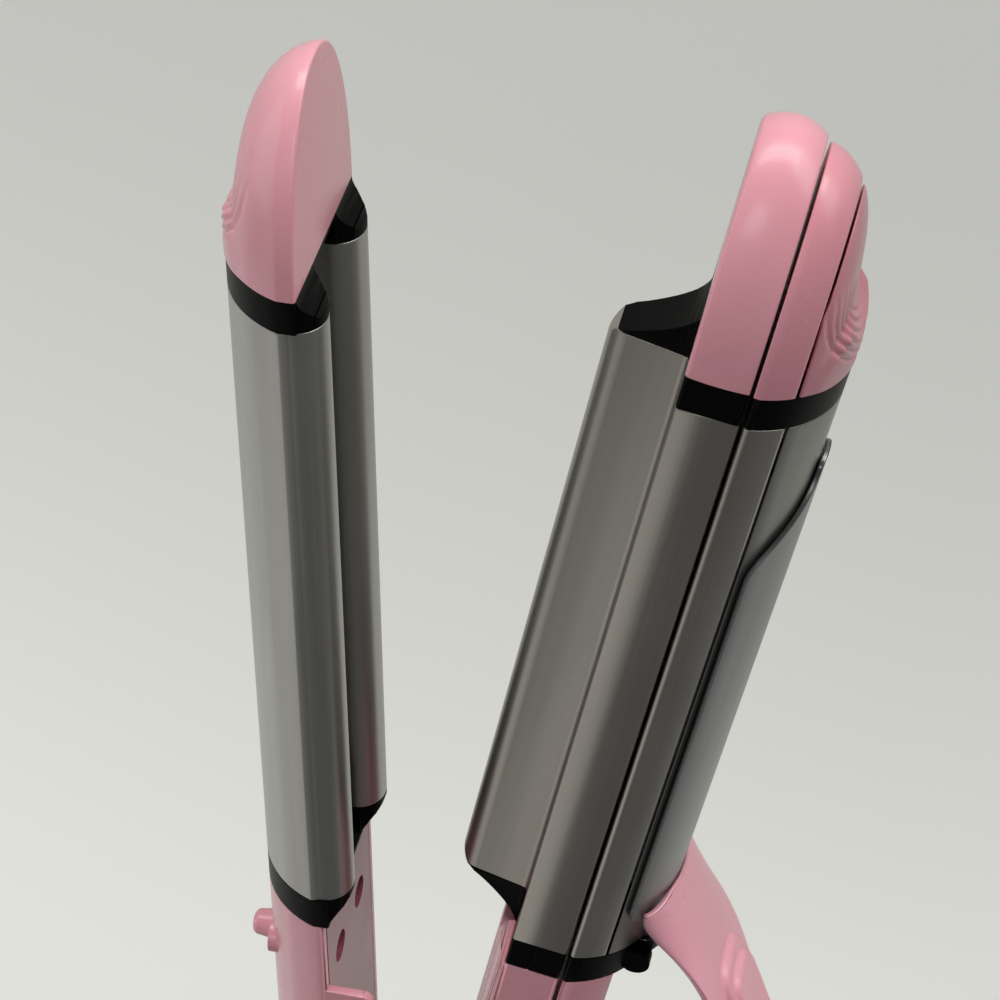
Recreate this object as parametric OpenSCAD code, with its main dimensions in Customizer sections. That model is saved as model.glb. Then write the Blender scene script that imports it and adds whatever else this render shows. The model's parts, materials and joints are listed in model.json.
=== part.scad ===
// Three-arm hair waver: a two-lobed wave arm, a middle arm with a central ridge,
// and a curling arm with a spring clip. The arms turn on one pin at the tail.
// X runs from the cord inlet to the tips, Y is the way the arms open, Z is across.
// Inside an arm the letters are u (along), v (from the mating plane), w (across).

/* [Arms] */
// Distance from the hinge pin to the front end of the handles
handle_len = 148; // [130:1:165]
// Length of the heated barrels
barrel_len = 124; // [100:1:135]
// Length of the lower black collars
low_collar = 6.7; // [5:0.1:9]
// Length of the upper black collars
top_collar = 6; // [5:0.1:9]
// Length of the pink tips at their mating face
tip_len = 32.7; // [28:0.1:42]
// Width of the tool between its flat sides
tool_w = 32.8; // [31:0.1:33]
// Radius of the round backs of the outer arms
dome_r = 17.3; // [16.9:0.1:18]
// Height of the flat side band beside a mating plane
band_h = 2.8; // [2:0.1:4]
// Thickness of the middle arm
middle_t = 9.6; // [9:0.1:11]
// Gap between the middle arm and the curling arm
split_gap = 0.6; // [0.4:0.1:1]

/* [Wave profile] */
// Height of the ridge on the middle barrel
ridge_h = 12.6; // [10:0.1:13]
// Radius of the ridge's top
ridge_r = 3.6; // [3:0.1:4]
// Half the ridge's width at its root
ridge_root = 4.8; // [4.2:0.1:5]
// Depth of the shallow hollows beside the ridge
hollow_d = 1.3; // [0.8:0.1:1.5]
// Width of the groove in the wave barrel
groove_w = 12.4; // [12:0.1:13]
// Depth of the groove in the wave barrel
groove_d = 11; // [10.6:0.1:11.6]
// Radius of each lobe of the wave barrel
lobe_r = 4.9; // [4.4:0.1:5]
// How far the lobes stand proud of their mating plane
lobe_drop = 3.4; // [2.8:0.1:3.8]

/* [Hinge] */
// Angle between the wave arm and the middle arm as stored
open_angle = 10.9; // [8:0.1:14]
// Gap between the two mating planes when the arms are shut
closed_gap = 3; // [2.8:0.1:4]
// Depth of the hinge pin below the middle arm's mating plane
pin_depth = 10; // [9.5:0.1:11]
// Radius of the hinge pin
pin_r = 2.5; // [2:0.1:3]
// Radial clearance of a turning bore
turn_fit = 0.06; // [0.02:0.01:0.1]
// Wire diameter of the arm spring
spring_wire = 1.3; // [1:0.1:1.4]
// Length of the tail behind the hinge pin
tail_len = 22; // [20:1:30]

/* [Housings] */
// Wall of the moulded handles
wall = 2; // [1.6:0.1:2.4]
// Clearance between parts that move past each other
gap = 0.3; // [0.2:0.05:0.4]
// How far the wave handle's inner cover sits behind its mating plane
cover_inset = 1; // [0.8:0.1:1.4]
// Rise of the crowned cover on the middle handle
crown_h = 2.8; // [2:0.1:3]
// Bore of the cord inlet
inlet_r = 3.3; // [2.5:0.1:3.6]

/* [Clip] */
// Thickness of the clip plate
clip_t = 0.8; // [0.6:0.1:1]
// Half the angle that the clip plate covers
clip_angle = 48.4; // [40:0.1:52]
// Distance from the clip's front end to the barrels' front end
clip_short = 6.2; // [4:0.1:20]
// Distance from the clip's own pin to the handles' front end
clip_pin_ahead = 3.2; // [2.8:0.1:3.6]
// Width of the thumb lever
lever_w = 25; // [22:0.5:27]
// Thickness of the thumb lever
lever_t = 2; // [1.6:0.1:2.4]

/* [Hidden] */
$fn = 64;

pink = "#e7a3b0";
deep_pink = "#d98c9c";
black = "#141414";
silver = "#8f8d88";
steel = "#b9bcc0";
ceramic = "#e8e2d4";

// Stations along an arm, counted from the hinge pin
barrel_u0 = handle_len + low_collar;
barrel_u1 = barrel_u0 + barrel_len;
tip_u = barrel_u1 + top_collar;

clip_pin_u = handle_len + clip_pin_ahead;
clip_end = barrel_u1 - clip_short;

half_w = tool_w / 2;
dome_rise = sqrt(dome_r * dome_r - half_w * half_w);
// Centre of the wave arm's round back, in v
wave_c = band_h - dome_rise;
wave_top = wave_c + dome_r;
// The curling arm lies below the middle arm and is mirrored in v
curl_v = -middle_t - split_gap;
curl_band = 1;
curl_c = curl_v - curl_band + dome_rise;
curl_bottom = curl_c - dome_r;
// Parting between the curling arm's plate and its round barrel
plate_d = 5.8;
part_v = curl_v - plate_d;
part_gap = 0.4;
// The swivel's axis, in v of the middle arm
axis_v = -12;
// Hinge stack, as distances from the middle of the tool
spring_half = 4.7;
middle_ear = [5, 8.5];
wave_ear = [8.8, 12.4];
cheek_in = 12.8;
knuckle_r = 5;
// Barrel walls and heater places
barrel_wall = 1.6;
heater_len = 96;

// ---------------------------------------------------------------- frames and profiles
module middle_frame() translate([tail_len, -axis_v, 0]) children();
module wave_frame() {
    translate([tail_len, -axis_v - pin_depth, 0]) rotate([0, 0, open_angle])
        translate([0, pin_depth + closed_gap, 0]) children();
}
// A (v, w) outline carried along u
module along(u, length) translate([u, 0, 0]) rotate([90, 0, 90]) linear_extrude(length) children();
// A (u, v) outline carried across w
module across(w0, w1) translate([0, 0, w0]) linear_extrude(w1 - w0) children();
// A (u, w) outline carried up v
module upward(v0, v1) translate([0, v1, 0]) rotate([90, 0, 0]) linear_extrude(v1 - v0) children();
// The same shape on both sides of the tool
module both_sides() {
    children();
    mirror([0, 0, 1]) children();
}
module block(u, v, w) translate([u[0], v[0], w[0]]) cube([u[1] - u[0], v[1] - v[0], w[1] - w[0]]);

function mix(a, b, t) = a + (b - a) * t;
function smooth(t) = t * t * (3 - 2 * t);
function arc(c, r, a0, a1, n) =
    [for (i = [0:n]) let (a = mix(a0, a1, i / n)) [c[0] + r * cos(a), c[1] + r * sin(a)]];
// Adds the mirror image of a half outline that starts and ends on w = 0 or stays above it
function closed(half) =
    concat(half, [for (i = [len(half) - 1:-1:0]) if (half[i][1] > 0.001) [half[i][0], -half[i][1]]]);
function half_width(c, r, v) = sqrt(r * r - (v - c) * (v - c));

// Round back with flat sides: base plane, side band, arc
function wave_back(r = dome_r, hw = half_w, n = 14) =
    let (a = asin(hw / r)) [for (i = [0:n]) let (t = a * (1 - i / n)) [wave_c + r * cos(t), r * sin(t)]];
function wave_half(base) = concat([[base, 0], [base, half_w - 0.4], [base + 0.4, half_w]], wave_back());
// Half outline under a round back: flat base, then an upright side where there is room for one
function hollow_half(base, r, hw, c, up) =
    let (beyond = up * (base - c) > sqrt(r * r - hw * hw), w = beyond ? half_width(c, r, base) : hw, a = asin(w / r))
    concat([[base, 0]], beyond ? [] : [[base, w]],
        [for (i = [0:14]) let (t = a * (1 - i / 14)) [c + up * r * cos(t), r * sin(t)]]);
function wave_inner(base) = hollow_half(base, dome_r - wall, half_w - wall, wave_c, 1);
// The curling arm's round back between two depths, from the side to the bottom
function curl_arc(r, a0, n = 14) =
    [for (i = [0:n]) let (t = a0 * (1 - i / n)) [curl_c - r * cos(t), r * sin(t)]];
curl_a = asin(half_w / dome_r);
function curl_half(base) =
    concat([[base, 0], [base, half_w - 0.4], [base - 0.4, half_w]], curl_arc(dome_r, curl_a));

// End face of a ring of n points: one polygon, or a strip between the two lines of a thin wall
function end_face(n, thin) = thin
    ? [for (j = [0:n / 2 - 2]) each [[j, j + 1, n - 2 - j], [j, n - 2 - j, n - 1 - j]]]
    : [[for (j = [0:n - 1]) j]];
// A closed surface through rings of equal length, each ring anticlockwise seen from the last one
module skin(rings, thin = false) {
    n = len(rings[0]);
    m = len(rings);
    polyhedron(
        points = [for (ring = rings) for (p = ring) p],
        faces = concat(
            end_face(n, thin),
            [for (i = [0:m - 2]) for (j = [0:n - 1])
                let (a = i * n + j, b = i * n + (j + 1) % n) each [[a, a + n, b], [b, a + n, b + n]]],
            [for (face = end_face(n, thin)) [for (k = [len(face) - 1:-1:0]) face[k] + (m - 1) * n]]));
}

// ---------------------------------------------------------------- tips
// Arch outline of a tip in (u, w): a superellipse of the given length and half width
tip_n = 2.1;
tip_steps = 20;
function arch(length, hw) =
    [for (i = [0:tip_steps]) let (a = 180 * i / tip_steps)
        [tip_u + length * pow(abs(sin(a)), 2 / tip_n), hw * sign(cos(a)) * pow(abs(cos(a)), 2 / tip_n)]];
function level(v, length, hw) = [for (p = arch(max(length, 0.5), hw)) [p[0], v, p[1]]];

// Boss at a tip's foot that a finger pushes: a tongue on the round back with nested grooves,
// each a half ring open towards the tip. Here v counts outwards from the back's centre line.
grip_len = 9.4;
grip_half = 8;
grip_groove = 0.7;
grip_rise = 0.2;
grip_root = dome_r - 6.4;
grip_rings = [1.9, 3.5, 5.1, 6.7];
grip_line = [[0, 0], [2, grip_rise], [4.2, grip_rise], [5.8, -0.1], [7.4, -1], [8.5, -2], [grip_len, -3.1]];
module grip_tongue(less) {
    r = dome_r + grip_rise - less;
    intersection() {
        along(tip_u, grip_len) polygon(closed(concat([[grip_root, 0], [grip_root, grip_half]],
            [for (i = [0:8]) let (t = asin(grip_half / r) * (1 - i / 8)) [r * cos(t), r * sin(t)]])));
        across(-half_w, half_w) polygon(concat([[tip_u, grip_root]],
            [for (p = grip_line) [tip_u + p[0], dome_r + p[1] - less]], [[tip_u + grip_len - 1, grip_root]]));
        upward(0, dome_r + 1) polygon(concat([[tip_u, grip_half + 0.1]],
            arc([tip_u + grip_len - grip_half, 0], grip_half, 90, -90, 12), [[tip_u, -grip_half - 0.1]]));
    }
}
module half_ring_plug(r) {
    circle(r, $fn = 32);
    translate([0, -r]) square([grip_len, 2 * r]);
}
module grip_boss() {
    grip_tongue(grip_groove);
    difference() {
        grip_tongue(0);
        for (r = grip_rings) upward(dome_r - 4, dome_r + 2) translate([tip_u + grip_len - 1.6, 0]) difference() {
            half_ring_plug(r + 0.35);
            half_ring_plug(r - 0.35);
        }
    }
}

// Depth of a tip at a share s of its length, and the share at which it has a given depth
function tip_depth(s, form) = mix(form[0], form[1], s) * pow(1 - pow(s, form[2]), 0.58);
function tip_reach(d, form, lo = 0, hi = 1, k = 22) = k == 0 ? lo : let (m = (lo + hi) / 2)
    tip_depth(m, form) > d ? tip_reach(d, form, m, hi, k - 1) : tip_reach(d, form, lo, m, k - 1);
wave_form = [11.9, 11.9, 3.6];
curl_form = [11, 7.6, 6.5];
curl_tip_len = tip_len - 0.5;

module wave_tip() {
    levels = 10;
    color(pink) wave_frame() {
        skin([for (i = [0:levels]) let (v = wave_form[0] * sin(86 * i / levels))
            level(v, tip_len * tip_reach(v, wave_form), v < band_h ? half_w : half_width(wave_c, dome_r, v))]);
        translate([0, wave_c, 0]) grip_boss();
    }
}

middle_bulge = 2;
module middle_tip() {
    levels = 8;
    color(pink) middle_frame()
        skin([for (i = [0:levels]) let (s = i / levels, e = 2 * s - 1)
            level(-middle_t * (1 - s), tip_len + 0.6 + middle_bulge * (1 - e * e), half_w - 0.3 * e * e)]);
}

function curl_level(d) = level(curl_v - d, curl_tip_len * tip_reach(d, curl_form),
    d < curl_band ? half_w : half_width(curl_c, dome_r, curl_v - d));
module curl_tip() {
    levels = 5;
    color(pink) middle_frame() skin([for (i = [levels:-1:0]) curl_level(plate_d * i / levels)]);
}
module curl_tip_cap() {
    levels = 8;
    d0 = plate_d + part_gap;
    color(pink) middle_frame() {
        skin([for (i = [levels:-1:0]) curl_level(mix(d0, curl_form[0], sin(85 * i / levels)))]);
        translate([0, curl_c, 0]) mirror([0, 1, 0]) grip_boss();
    }
}

// How far the ridge's black ends run out beyond the barrel, at the top and at the bottom
top_run = 8.4;
low_run = 10.4;

// ---------------------------------------------------------------- wave barrel and its collars
lobe_w = groove_w / 2 + lobe_r;
lobe_v = lobe_r - lobe_drop;
function wave_section() = concat(
    arc([groove_d - groove_w / 2, 0], groove_w / 2, 0, 90, 12),
    arc([lobe_v, lobe_w], lobe_r, -90, -270, 20),
    wave_back());
// Heater slot inside each lobe
slot_v = [-0.6, 6.6];
slot_w = [lobe_w - 2.8, lobe_w + 2];
tenon_len = 4;

module heater_slots(u, length, less = 0)
    both_sides() block([u, u + length], [slot_v[0] + less, slot_v[1] - less], [slot_w[0] + less, slot_w[1] - less]);

module wave_barrel() {
    color(silver) wave_frame() difference() {
        along(barrel_u0, barrel_len) polygon(closed(wave_section()));
        heater_slots(barrel_u0 - 1, barrel_len + 2);
    }
}
// The lobes' black end ramps: from a lobe's crest to the mating plane in an S
function ramp(u0, u1, v0, v1, n = 8) = [for (i = [0:n]) [mix(u0, u1, i / n), mix(v0, v1, smooth(i / n))]];
module lobe_ramps(u_barrel, u_flat) {
    intersection() {
        along(min(u_barrel, u_flat), abs(u_flat - u_barrel))
            polygon(closed(concat([[0.8, 0]], [[0.8, groove_w / 2]],
                arc([lobe_v, lobe_w], lobe_r, -98, -262, 16), [[0.8, half_w - 0.4]])));
        across(-half_w, half_w) polygon(concat([[u_flat, 1]], [[u_barrel, 1]],
            ramp(u_barrel, u_flat, -lobe_drop - 0.1, 0)));
    }
}
// Pocket in a wave collar for the end of the middle arm's ridge
module ridge_pocket(u_barrel, run) {
    dir = sign(run);
    intersection() {
        along(min(u_barrel - 1, u_barrel + run), abs(run) + 1)
            polygon(closed(concat([[-lobe_drop - 1, 0], [-lobe_drop - 1, groove_w / 2]],
                [for (i = [12:-1:0]) wave_section()[i]])));
        across(-half_w, half_w) polygon(concat([[u_barrel - dir, -lobe_drop - 1], [u_barrel - dir, ridge_h]],
            [for (p = ridge_profile(u_barrel, run)) [p[0] + dir * 0.4, p[1] - closed_gap + 0.4]],
            [[u_barrel + run, -lobe_drop - 1]]));
    }
}
module wave_upper_collar() {
    color(black) wave_frame() {
        difference() {
            along(barrel_u1, top_collar) polygon(closed(wave_half(0)));
            ridge_pocket(barrel_u1, top_run);
        }
        lobe_ramps(barrel_u1, tip_u);
        heater_slots(barrel_u1 - tenon_len, tenon_len + 1, 0.15);
    }
}
module wave_lower_collar() {
    color(black) wave_frame() {
        difference() {
            along(handle_len, low_collar) polygon(closed(wave_half(0)));
            ridge_pocket(barrel_u0, -low_run);
        }
        lobe_ramps(barrel_u0, handle_len);
        heater_slots(barrel_u0 - 1, tenon_len + 1, 0.15);
    }
}
module wave_heaters() {
    color(ceramic) wave_frame()
        heater_slots(barrel_u0 + (barrel_len - heater_len) / 2, heater_len, 0.2);
}

// ---------------------------------------------------------------- wave handle
screw_u = handle_len - 15.8;
screw_w = 6.5;
screw_hole_r = 3;
screw_seat = 6;
cover_t = 2.2;
skirt_u = [handle_len - 53, handle_len - 17];
skirt_drop = 7.4;
lug_u = handle_len - 20.9;
lug_h = 4.4;
lug_r = 2.4;

module pin_bore(v, r, w0, w1) translate([0, v, w0]) cylinder(r = r, h = w1 - w0);

wave_pin_v = -pin_depth - closed_gap;
module wave_ears() {
    both_sides() across(wave_ear[0], wave_ear[1]) {
        translate([0, wave_pin_v]) circle(knuckle_r);
        polygon([[-knuckle_r, wave_pin_v], [knuckle_r, wave_pin_v], [knuckle_r, 8], [-7, 8], [-7, wave_pin_v + 5]]);
    }
    // Bar between the ears that the arm spring pushes
    block([-7, -4.6], [wave_pin_v + 6.5, wave_pin_v + 9.5], [-wave_ear[0] - 1, wave_ear[0] + 1]);
}
module wave_handle_shell() {
    floor_v = cover_inset + cover_t;
    color(pink) wave_frame() {
        difference() {
            along(-7, handle_len + 7) polygon(closed(wave_half(cover_inset)));
            along(6.2, handle_len - 6.2 - wall) polygon(closed(wave_inner(cover_inset - 1)));
            along(-7 + wall, 14) polygon(closed(wave_inner(floor_v)));
        }
        difference() {
            wave_ears();
            pin_bore(wave_pin_v, pin_r + turn_fit, -half_w, half_w);
        }
        // Posts for the two cover screws
        for (w = [-screw_w, screw_w])
            translate([screw_u, screw_seat + 1.6, w]) rotate([-90, 0, 0]) difference() {
                cylinder(r = 3.2, h = 6);
                translate([0, 0, -1]) cylinder(r = 1.1, h = 6);
            }
        // Side plate that covers the middle handle's side when the arms are shut
        across(half_w - wall + 0.1, half_w - 0.2) polygon(concat(
            [[skirt_u[0], cover_inset + 2], [skirt_u[0] + 4, -skirt_drop + 1]],
            arc([skirt_u[0] + 7, -skirt_drop + 3], 3, 210, 270, 4),
            arc([skirt_u[1] - 2.5, -skirt_drop + 2.5], 2.5, 270, 360, 5),
            [[skirt_u[1], cover_inset + 2]]));
        // Round rest peg on the back, a little wider at its foot
        translate([lug_u, wave_top - 1, 0]) rotate([-90, 0, 0]) rotate_extrude()
            polygon(concat([[0, 0], [lug_r + 0.7, 0]], arc([lug_r - 1.2, lug_h - 0.2], 1.2, 0, 90, 6), [[0, lug_h + 1]]));
    }
}
module wave_handle_cover() {
    color(deep_pink) wave_frame() difference() {
        union() {
            block([6.3, handle_len - wall - 0.1], [cover_inset, cover_inset + cover_t],
                [-half_w + wall + 0.3, half_w - wall - 0.3]);
            for (w = [-screw_w, screw_w])
                translate([screw_u, cover_inset + 0.5, w]) rotate([-90, 0, 0])
                    cylinder(r = 4.3, h = screw_seat + 1.5 - cover_inset - 0.5);
        }
        for (w = [-screw_w, screw_w]) translate([screw_u, 0, w]) rotate([-90, 0, 0]) {
            cylinder(r = screw_hole_r, h = screw_seat);
            cylinder(r = 1.6, h = screw_seat + 5);
        }
    }
}
// A pan-head screw along +v: head, shank and cross slot
module screw(head_r, head_h, shank_r, shank_len) rotate([-90, 0, 0]) difference() {
    union() {
        cylinder(r = head_r, h = head_h);
        cylinder(r = shank_r, h = head_h + shank_len);
    }
    for (a = [0, 90]) rotate([0, 0, a]) translate([-head_r * 0.6, -0.3, -1]) cube([head_r * 1.2, 0.6, 1.7]);
}
module wave_screws() {
    color(steel) wave_frame()
        for (w = [-screw_w, screw_w]) translate([screw_u, screw_seat - 1.3, w]) screw(2.6, 1.3, 1.05, 4.3);
}

// ---------------------------------------------------------------- middle barrel and its collars
function ridge_half() = concat(
    arc([ridge_h - ridge_r, 0], ridge_r, 0, 84, 9),
    [[0.9, ridge_root - 0.2], [0.25, ridge_root], [0, ridge_root + 0.5]]);
hollow_line = [for (i = [1:8]) [-hollow_d * sin(180 * i / 9), mix(ridge_root + 0.5, half_w - 1, i / 9)]];
function middle_section() = concat(ridge_half(), hollow_line,
    [[0, half_w - 1], [0, half_w - 0.4], [-0.4, half_w], [0.4 - middle_t, half_w],
     [-middle_t, half_w - 0.4], [-middle_t, 0]]);
plate_t = 2.1;
plate_half = half_w - 2;
middle_slot = 11;
middle_slot_v = -hollow_d - 1.7;

module middle_barrel() {
    color(silver) middle_frame() difference() {
        along(barrel_u0, barrel_len) polygon(closed(middle_section()));
        block([barrel_u0 - 1, barrel_u1 + 1], [-middle_t - 1, -middle_t + plate_t + 0.1],
            [-plate_half - 0.1, plate_half + 0.1]);
        block([barrel_u0 - 1, barrel_u1 + 1], [-middle_t, middle_slot_v], [-middle_slot, middle_slot]);
        crest_end(barrel_u1, 1);
        crest_end(barrel_u0, -1);
        // Core of the ridge
        block([barrel_u0 - 1, barrel_u1 + 1], [-middle_t, ridge_h - ridge_r], [-barrel_wall - 0.4, barrel_wall + 0.4]);
    }
}
module middle_plate() {
    color(silver) middle_frame()
        block([barrel_u0, barrel_u1], [-middle_t, -middle_t + plate_t], [-plate_half, plate_half]);
}
module middle_heater() {
    color(ceramic) middle_frame()
        block([barrel_u0 + (barrel_len - heater_len) / 2, barrel_u0 + (barrel_len + heater_len) / 2],
            [-middle_t + plate_t, middle_slot_v - 0.2], [-middle_slot + 0.6, middle_slot - 0.6]);
}
module middle_slab(u, length)
    along(u, length) polygon([[0, half_w - 0.4], [-0.4, half_w], [0.4 - middle_t, half_w],
        [-middle_t, half_w - 0.4], [-middle_t, 0.4 - half_w], [0.4 - middle_t, -half_w], [-0.4, -half_w],
        [0, 0.4 - half_w]]);
// Side view of the ridge's black end: a hollow slope on to the flat, steep at the barrel.
// It runs out at run, towards the tip or, when run is negative, towards the tail.
function ridge_profile(u_barrel, run) =
    [for (i = [0:12]) [u_barrel + run * i / 12, crest_foot * pow(1 - i / 12, 1.75)]];
// The crest of the silver ridge drops to the slope over its last few millimetres
crest_foot = ridge_h - 1.4;
crest_run = 2.6;
module crest_end(u_end, dir) across(-ridge_root, ridge_root)
    polygon([[u_end - dir * crest_run, ridge_h + 0.02], [u_end - dir * crest_run / 2, ridge_h - 0.35],
        [u_end - dir * 0.5, ridge_h - 0.9], [u_end, crest_foot], [u_end + dir, crest_foot - 1], [u_end + dir, ridge_h + 1],
        [u_end - dir * crest_run, ridge_h + 1]]);
module ridge_end(u_barrel, run, collar) {
    seat = u_barrel + sign(run) * collar;
    intersection() {
        along(min(u_barrel, u_barrel + run), abs(run))
            polygon(closed(concat([[-0.5, 0], [-0.5, ridge_root + 0.5]],
                [for (i = [len(ridge_half()) - 1:-1:0]) ridge_half()[i]])));
        across(-half_w, half_w)
            polygon(concat([[u_barrel, -1]], ridge_profile(u_barrel, run), [[seat, 0], [seat, -1]]));
    }
}
// The hollows run out in the collars
module hollow_ends(u_barrel, run) {
    intersection() {
        both_sides() along(min(u_barrel, u_barrel + run) - 1, abs(run) + 2)
            polygon(concat([[1, ridge_root + 0.5], [0, ridge_root + 0.5]], hollow_line, [[0, half_w - 1], [1, half_w - 1]]));
        across(-half_w, half_w) polygon([[u_barrel - sign(run), -hollow_d - 0.3], [u_barrel - sign(run), 2],
            [u_barrel + run, 2], [u_barrel + run, 0]]);
    }
}
hollow_run = 4.6;
module middle_upper_collar() {
    color(black) middle_frame() {
        difference() {
            middle_slab(barrel_u1, top_collar);
            hollow_ends(barrel_u1, hollow_run);
        }
        ridge_end(barrel_u1, top_run, top_collar);
        block([barrel_u1 - tenon_len, barrel_u1 + 1], [-middle_t + plate_t + 0.2, middle_slot_v - 0.2], [-8, 8]);
    }
}
module middle_lower_collar() {
    color(black) middle_frame() {
        difference() {
            middle_slab(handle_len, low_collar);
            hollow_ends(barrel_u0, -hollow_run);
            // Parting line of the two collar halves on each side
            both_sides() block([handle_len - 1, barrel_u0 + 1], [-4.1, -3.8], [half_w - 0.3, half_w + 1]);
        }
        ridge_end(barrel_u0, -low_run, low_collar);
        block([barrel_u0 - 1, barrel_u0 + tenon_len], [-middle_t + plate_t + 0.2, middle_slot_v - 0.2], [-8, 8]);
    }
}

// ---------------------------------------------------------------- middle handle
middle_end = 8;
relief_u = [skirt_u[0] - 1, skirt_u[1] + 0.6];
relief_v = closed_gap - skirt_drop - 0.6;
latch_u = 62;
latch_len = 16;
latch_travel = 5;
latch_v = -4.8;
latch_slot_h = 4;
module middle_ears() {
    both_sides() across(middle_ear[0], middle_ear[1]) {
        translate([0, -pin_depth]) circle(knuckle_r);
        polygon([[0, -pin_depth + knuckle_r - 0.4], [12, -1.5], [12, -9.2], [9.6, -9.5], [3.4, -pin_depth - 3.5],
            [0, -pin_depth]]);
    }
}
module middle_handle_shell() {
    color(pink) middle_frame() {
        difference() {
            middle_slab(middle_end, handle_len - middle_end);
            block([middle_end + wall, handle_len - wall], [-middle_t + 1.8, 1], [wall - half_w, half_w - wall]);
            // Room for the wave handle's side plate
            block(relief_u, [relief_v, 1], [half_w - wall - gap, half_w + 1]);
            // Slot for the latch's thumb piece, and its way to both neighbours
            block([latch_u - 2.5, latch_u + latch_travel + 2.5], [latch_v - latch_slot_h / 2, latch_v + latch_slot_h / 2],
                [half_w - wall - 1, half_w + 1]);
            block([latch_u - 4.5, latch_u + latch_travel + 4.5], [-middle_t - 1, -middle_t + 3], [8.4, 11.6]);
        }
        // Inner wall behind that room
        block([relief_u[0] - 1, relief_u[1] + 1], [-middle_t + 1, -0.2],
            [half_w - 2 * wall - gap, half_w - wall - gap]);
        difference() {
            middle_ears();
            pin_bore(-pin_depth, pin_r + turn_fit, -half_w, half_w);
        }
    }
}
module middle_handle_cover() {
    crown_r = (half_w * half_w + crown_h * crown_h) / (2 * crown_h);
    a = asin(half_w / crown_r);
    ledge = half_w - 2 * wall - gap - 0.2;
    front = handle_len - 1.2;
    color(pink) middle_frame() difference() {
        intersection() {
            union() {
                along(middle_end, front - middle_end)
                    polygon([for (i = [0:16]) let (t = a * (1 - i / 8)) [crown_h - crown_r * (1 - cos(t)), crown_r * sin(t)]]);
                block([middle_end + wall + 0.2, handle_len - wall - 0.3], [-1.4, 0.3], [-ledge, ledge]);
            }
            // Rounded front end of the crowned cover
            across(-half_w, half_w) polygon(concat([[middle_end, -2], [middle_end, 1.2],
                [middle_end + 3, crown_h + 0.1]],
                [for (i = [0:6]) let (t = 90 * i / 6) [front - 5 + 5 * sin(t), crown_h * cos(t) + 0.1 * (1 - i / 6)]],
                [[front, -2]]));
        }
        block([relief_u[0] - 0.2, relief_u[1]], [-2, 3], [half_w - wall - gap, half_w + 1]);
        // Seat for the black foot of the ridge
        block([barrel_u0 - low_run - 0.2, handle_len], [0, crown_h + 1], [-ridge_root - 0.8, ridge_root + 0.8]);
    }
}
module mode_latch() {
    color(black) middle_frame() {
        // Thumb piece with three ridges, its neck and the inner slide with a tongue
        block([latch_u - latch_len / 2 + 2.5, latch_u + latch_len / 2 - 2.5], [latch_v - 2.6, latch_v + 2.6],
            [half_w + 0.2, half_w + 1.2]);
        for (k = [-1:1]) block([latch_u + 3 * k - 0.5, latch_u + 3 * k + 0.5], [latch_v - 2.6, latch_v + 2.6],
            [half_w + 0.8, half_w + 1.7]);
        block([latch_u - 2, latch_u + 2], [latch_v - 1.6, latch_v + 1.6], [half_w - wall - 1.5, half_w + 0.6]);
        block([latch_u - 4, latch_u + 4], [latch_v - 2.4, latch_v + 2.4], [8.7, half_w - wall - 0.3]);
        block([latch_u - 4, latch_u + 4], [-middle_t - 2.2, latch_v], [8.7, 11.3]);
    }
}

// ---------------------------------------------------------------- curling arm: plate, barrel and collars
// Angle at which the back's arc meets the parting, for a given radius
function cut_angle(v, r) = acos((curl_c - v) / r);
module curl_plate() {
    a1 = cut_angle(part_v, dome_r);
    outer = [for (i = [0:5]) let (t = mix(curl_a, a1, i / 5)) [curl_c - dome_r * cos(t), dome_r * sin(t)]];
    tip = outer[5][1];
    color(silver) middle_frame() along(barrel_u0, barrel_len) polygon(closed(concat(
        [[curl_v, 0], [curl_v, half_w - 0.4], [curl_v - 0.4, half_w]], outer,
        [[part_v, tip - barrel_wall], [curl_v - 3.2, half_w - 2 * barrel_wall], [curl_v - 1.9, half_w - 2 * barrel_wall],
         [curl_v - 1.9, 0]])));
}
module curl_barrel() {
    v0 = part_v - part_gap;
    a0 = cut_angle(v0, dome_r);
    a1 = cut_angle(v0, dome_r - barrel_wall);
    inner = curl_arc(dome_r - barrel_wall, a1, 18);
    outer = curl_arc(dome_r, a0, 18);
    color(silver) middle_frame() along(barrel_u0, barrel_len) polygon(concat(
        outer, [for (i = [17:-1:0]) [outer[i][0], -outer[i][1]]],
        [for (i = [0:18]) [inner[i][0], -inner[i][1]]], [for (i = [17:-1:0]) inner[i]]));
}
module curl_heater() {
    color(ceramic) middle_frame()
        block([barrel_u0 + (barrel_len - heater_len) / 2, barrel_u0 + (barrel_len + heater_len) / 2],
            [curl_v - 5, curl_v - 1.9], [-10, 10]);
}
// Aluminium saddle that carries heat from the ceramic bar to the round barrel
module heat_spreader() {
    r = dome_r - barrel_wall - 0.2;
    color(steel) middle_frame() along(barrel_u0 + (barrel_len - heater_len) / 2, heater_len)
        polygon(closed(concat([[curl_v - 5, 0], [curl_v - 5, 9]], curl_arc(r, asin(9 / r), 8))));
}
module curl_upper_collar() {
    color(black) middle_frame() {
        along(barrel_u1, top_collar) polygon(closed(curl_half(curl_v)));
        block([barrel_u1 - tenon_len, barrel_u1 + 1], [curl_v - 8, curl_v - 2.1], [-8, 8]);
    }
}

// Clip hinge on the curling arm's lower collar
clip_pin_v = curl_bottom + 1.7;
clip_pin_r = 1;
clip_lug = [8, 10.6];
clip_lug_r = 2.6;
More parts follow.
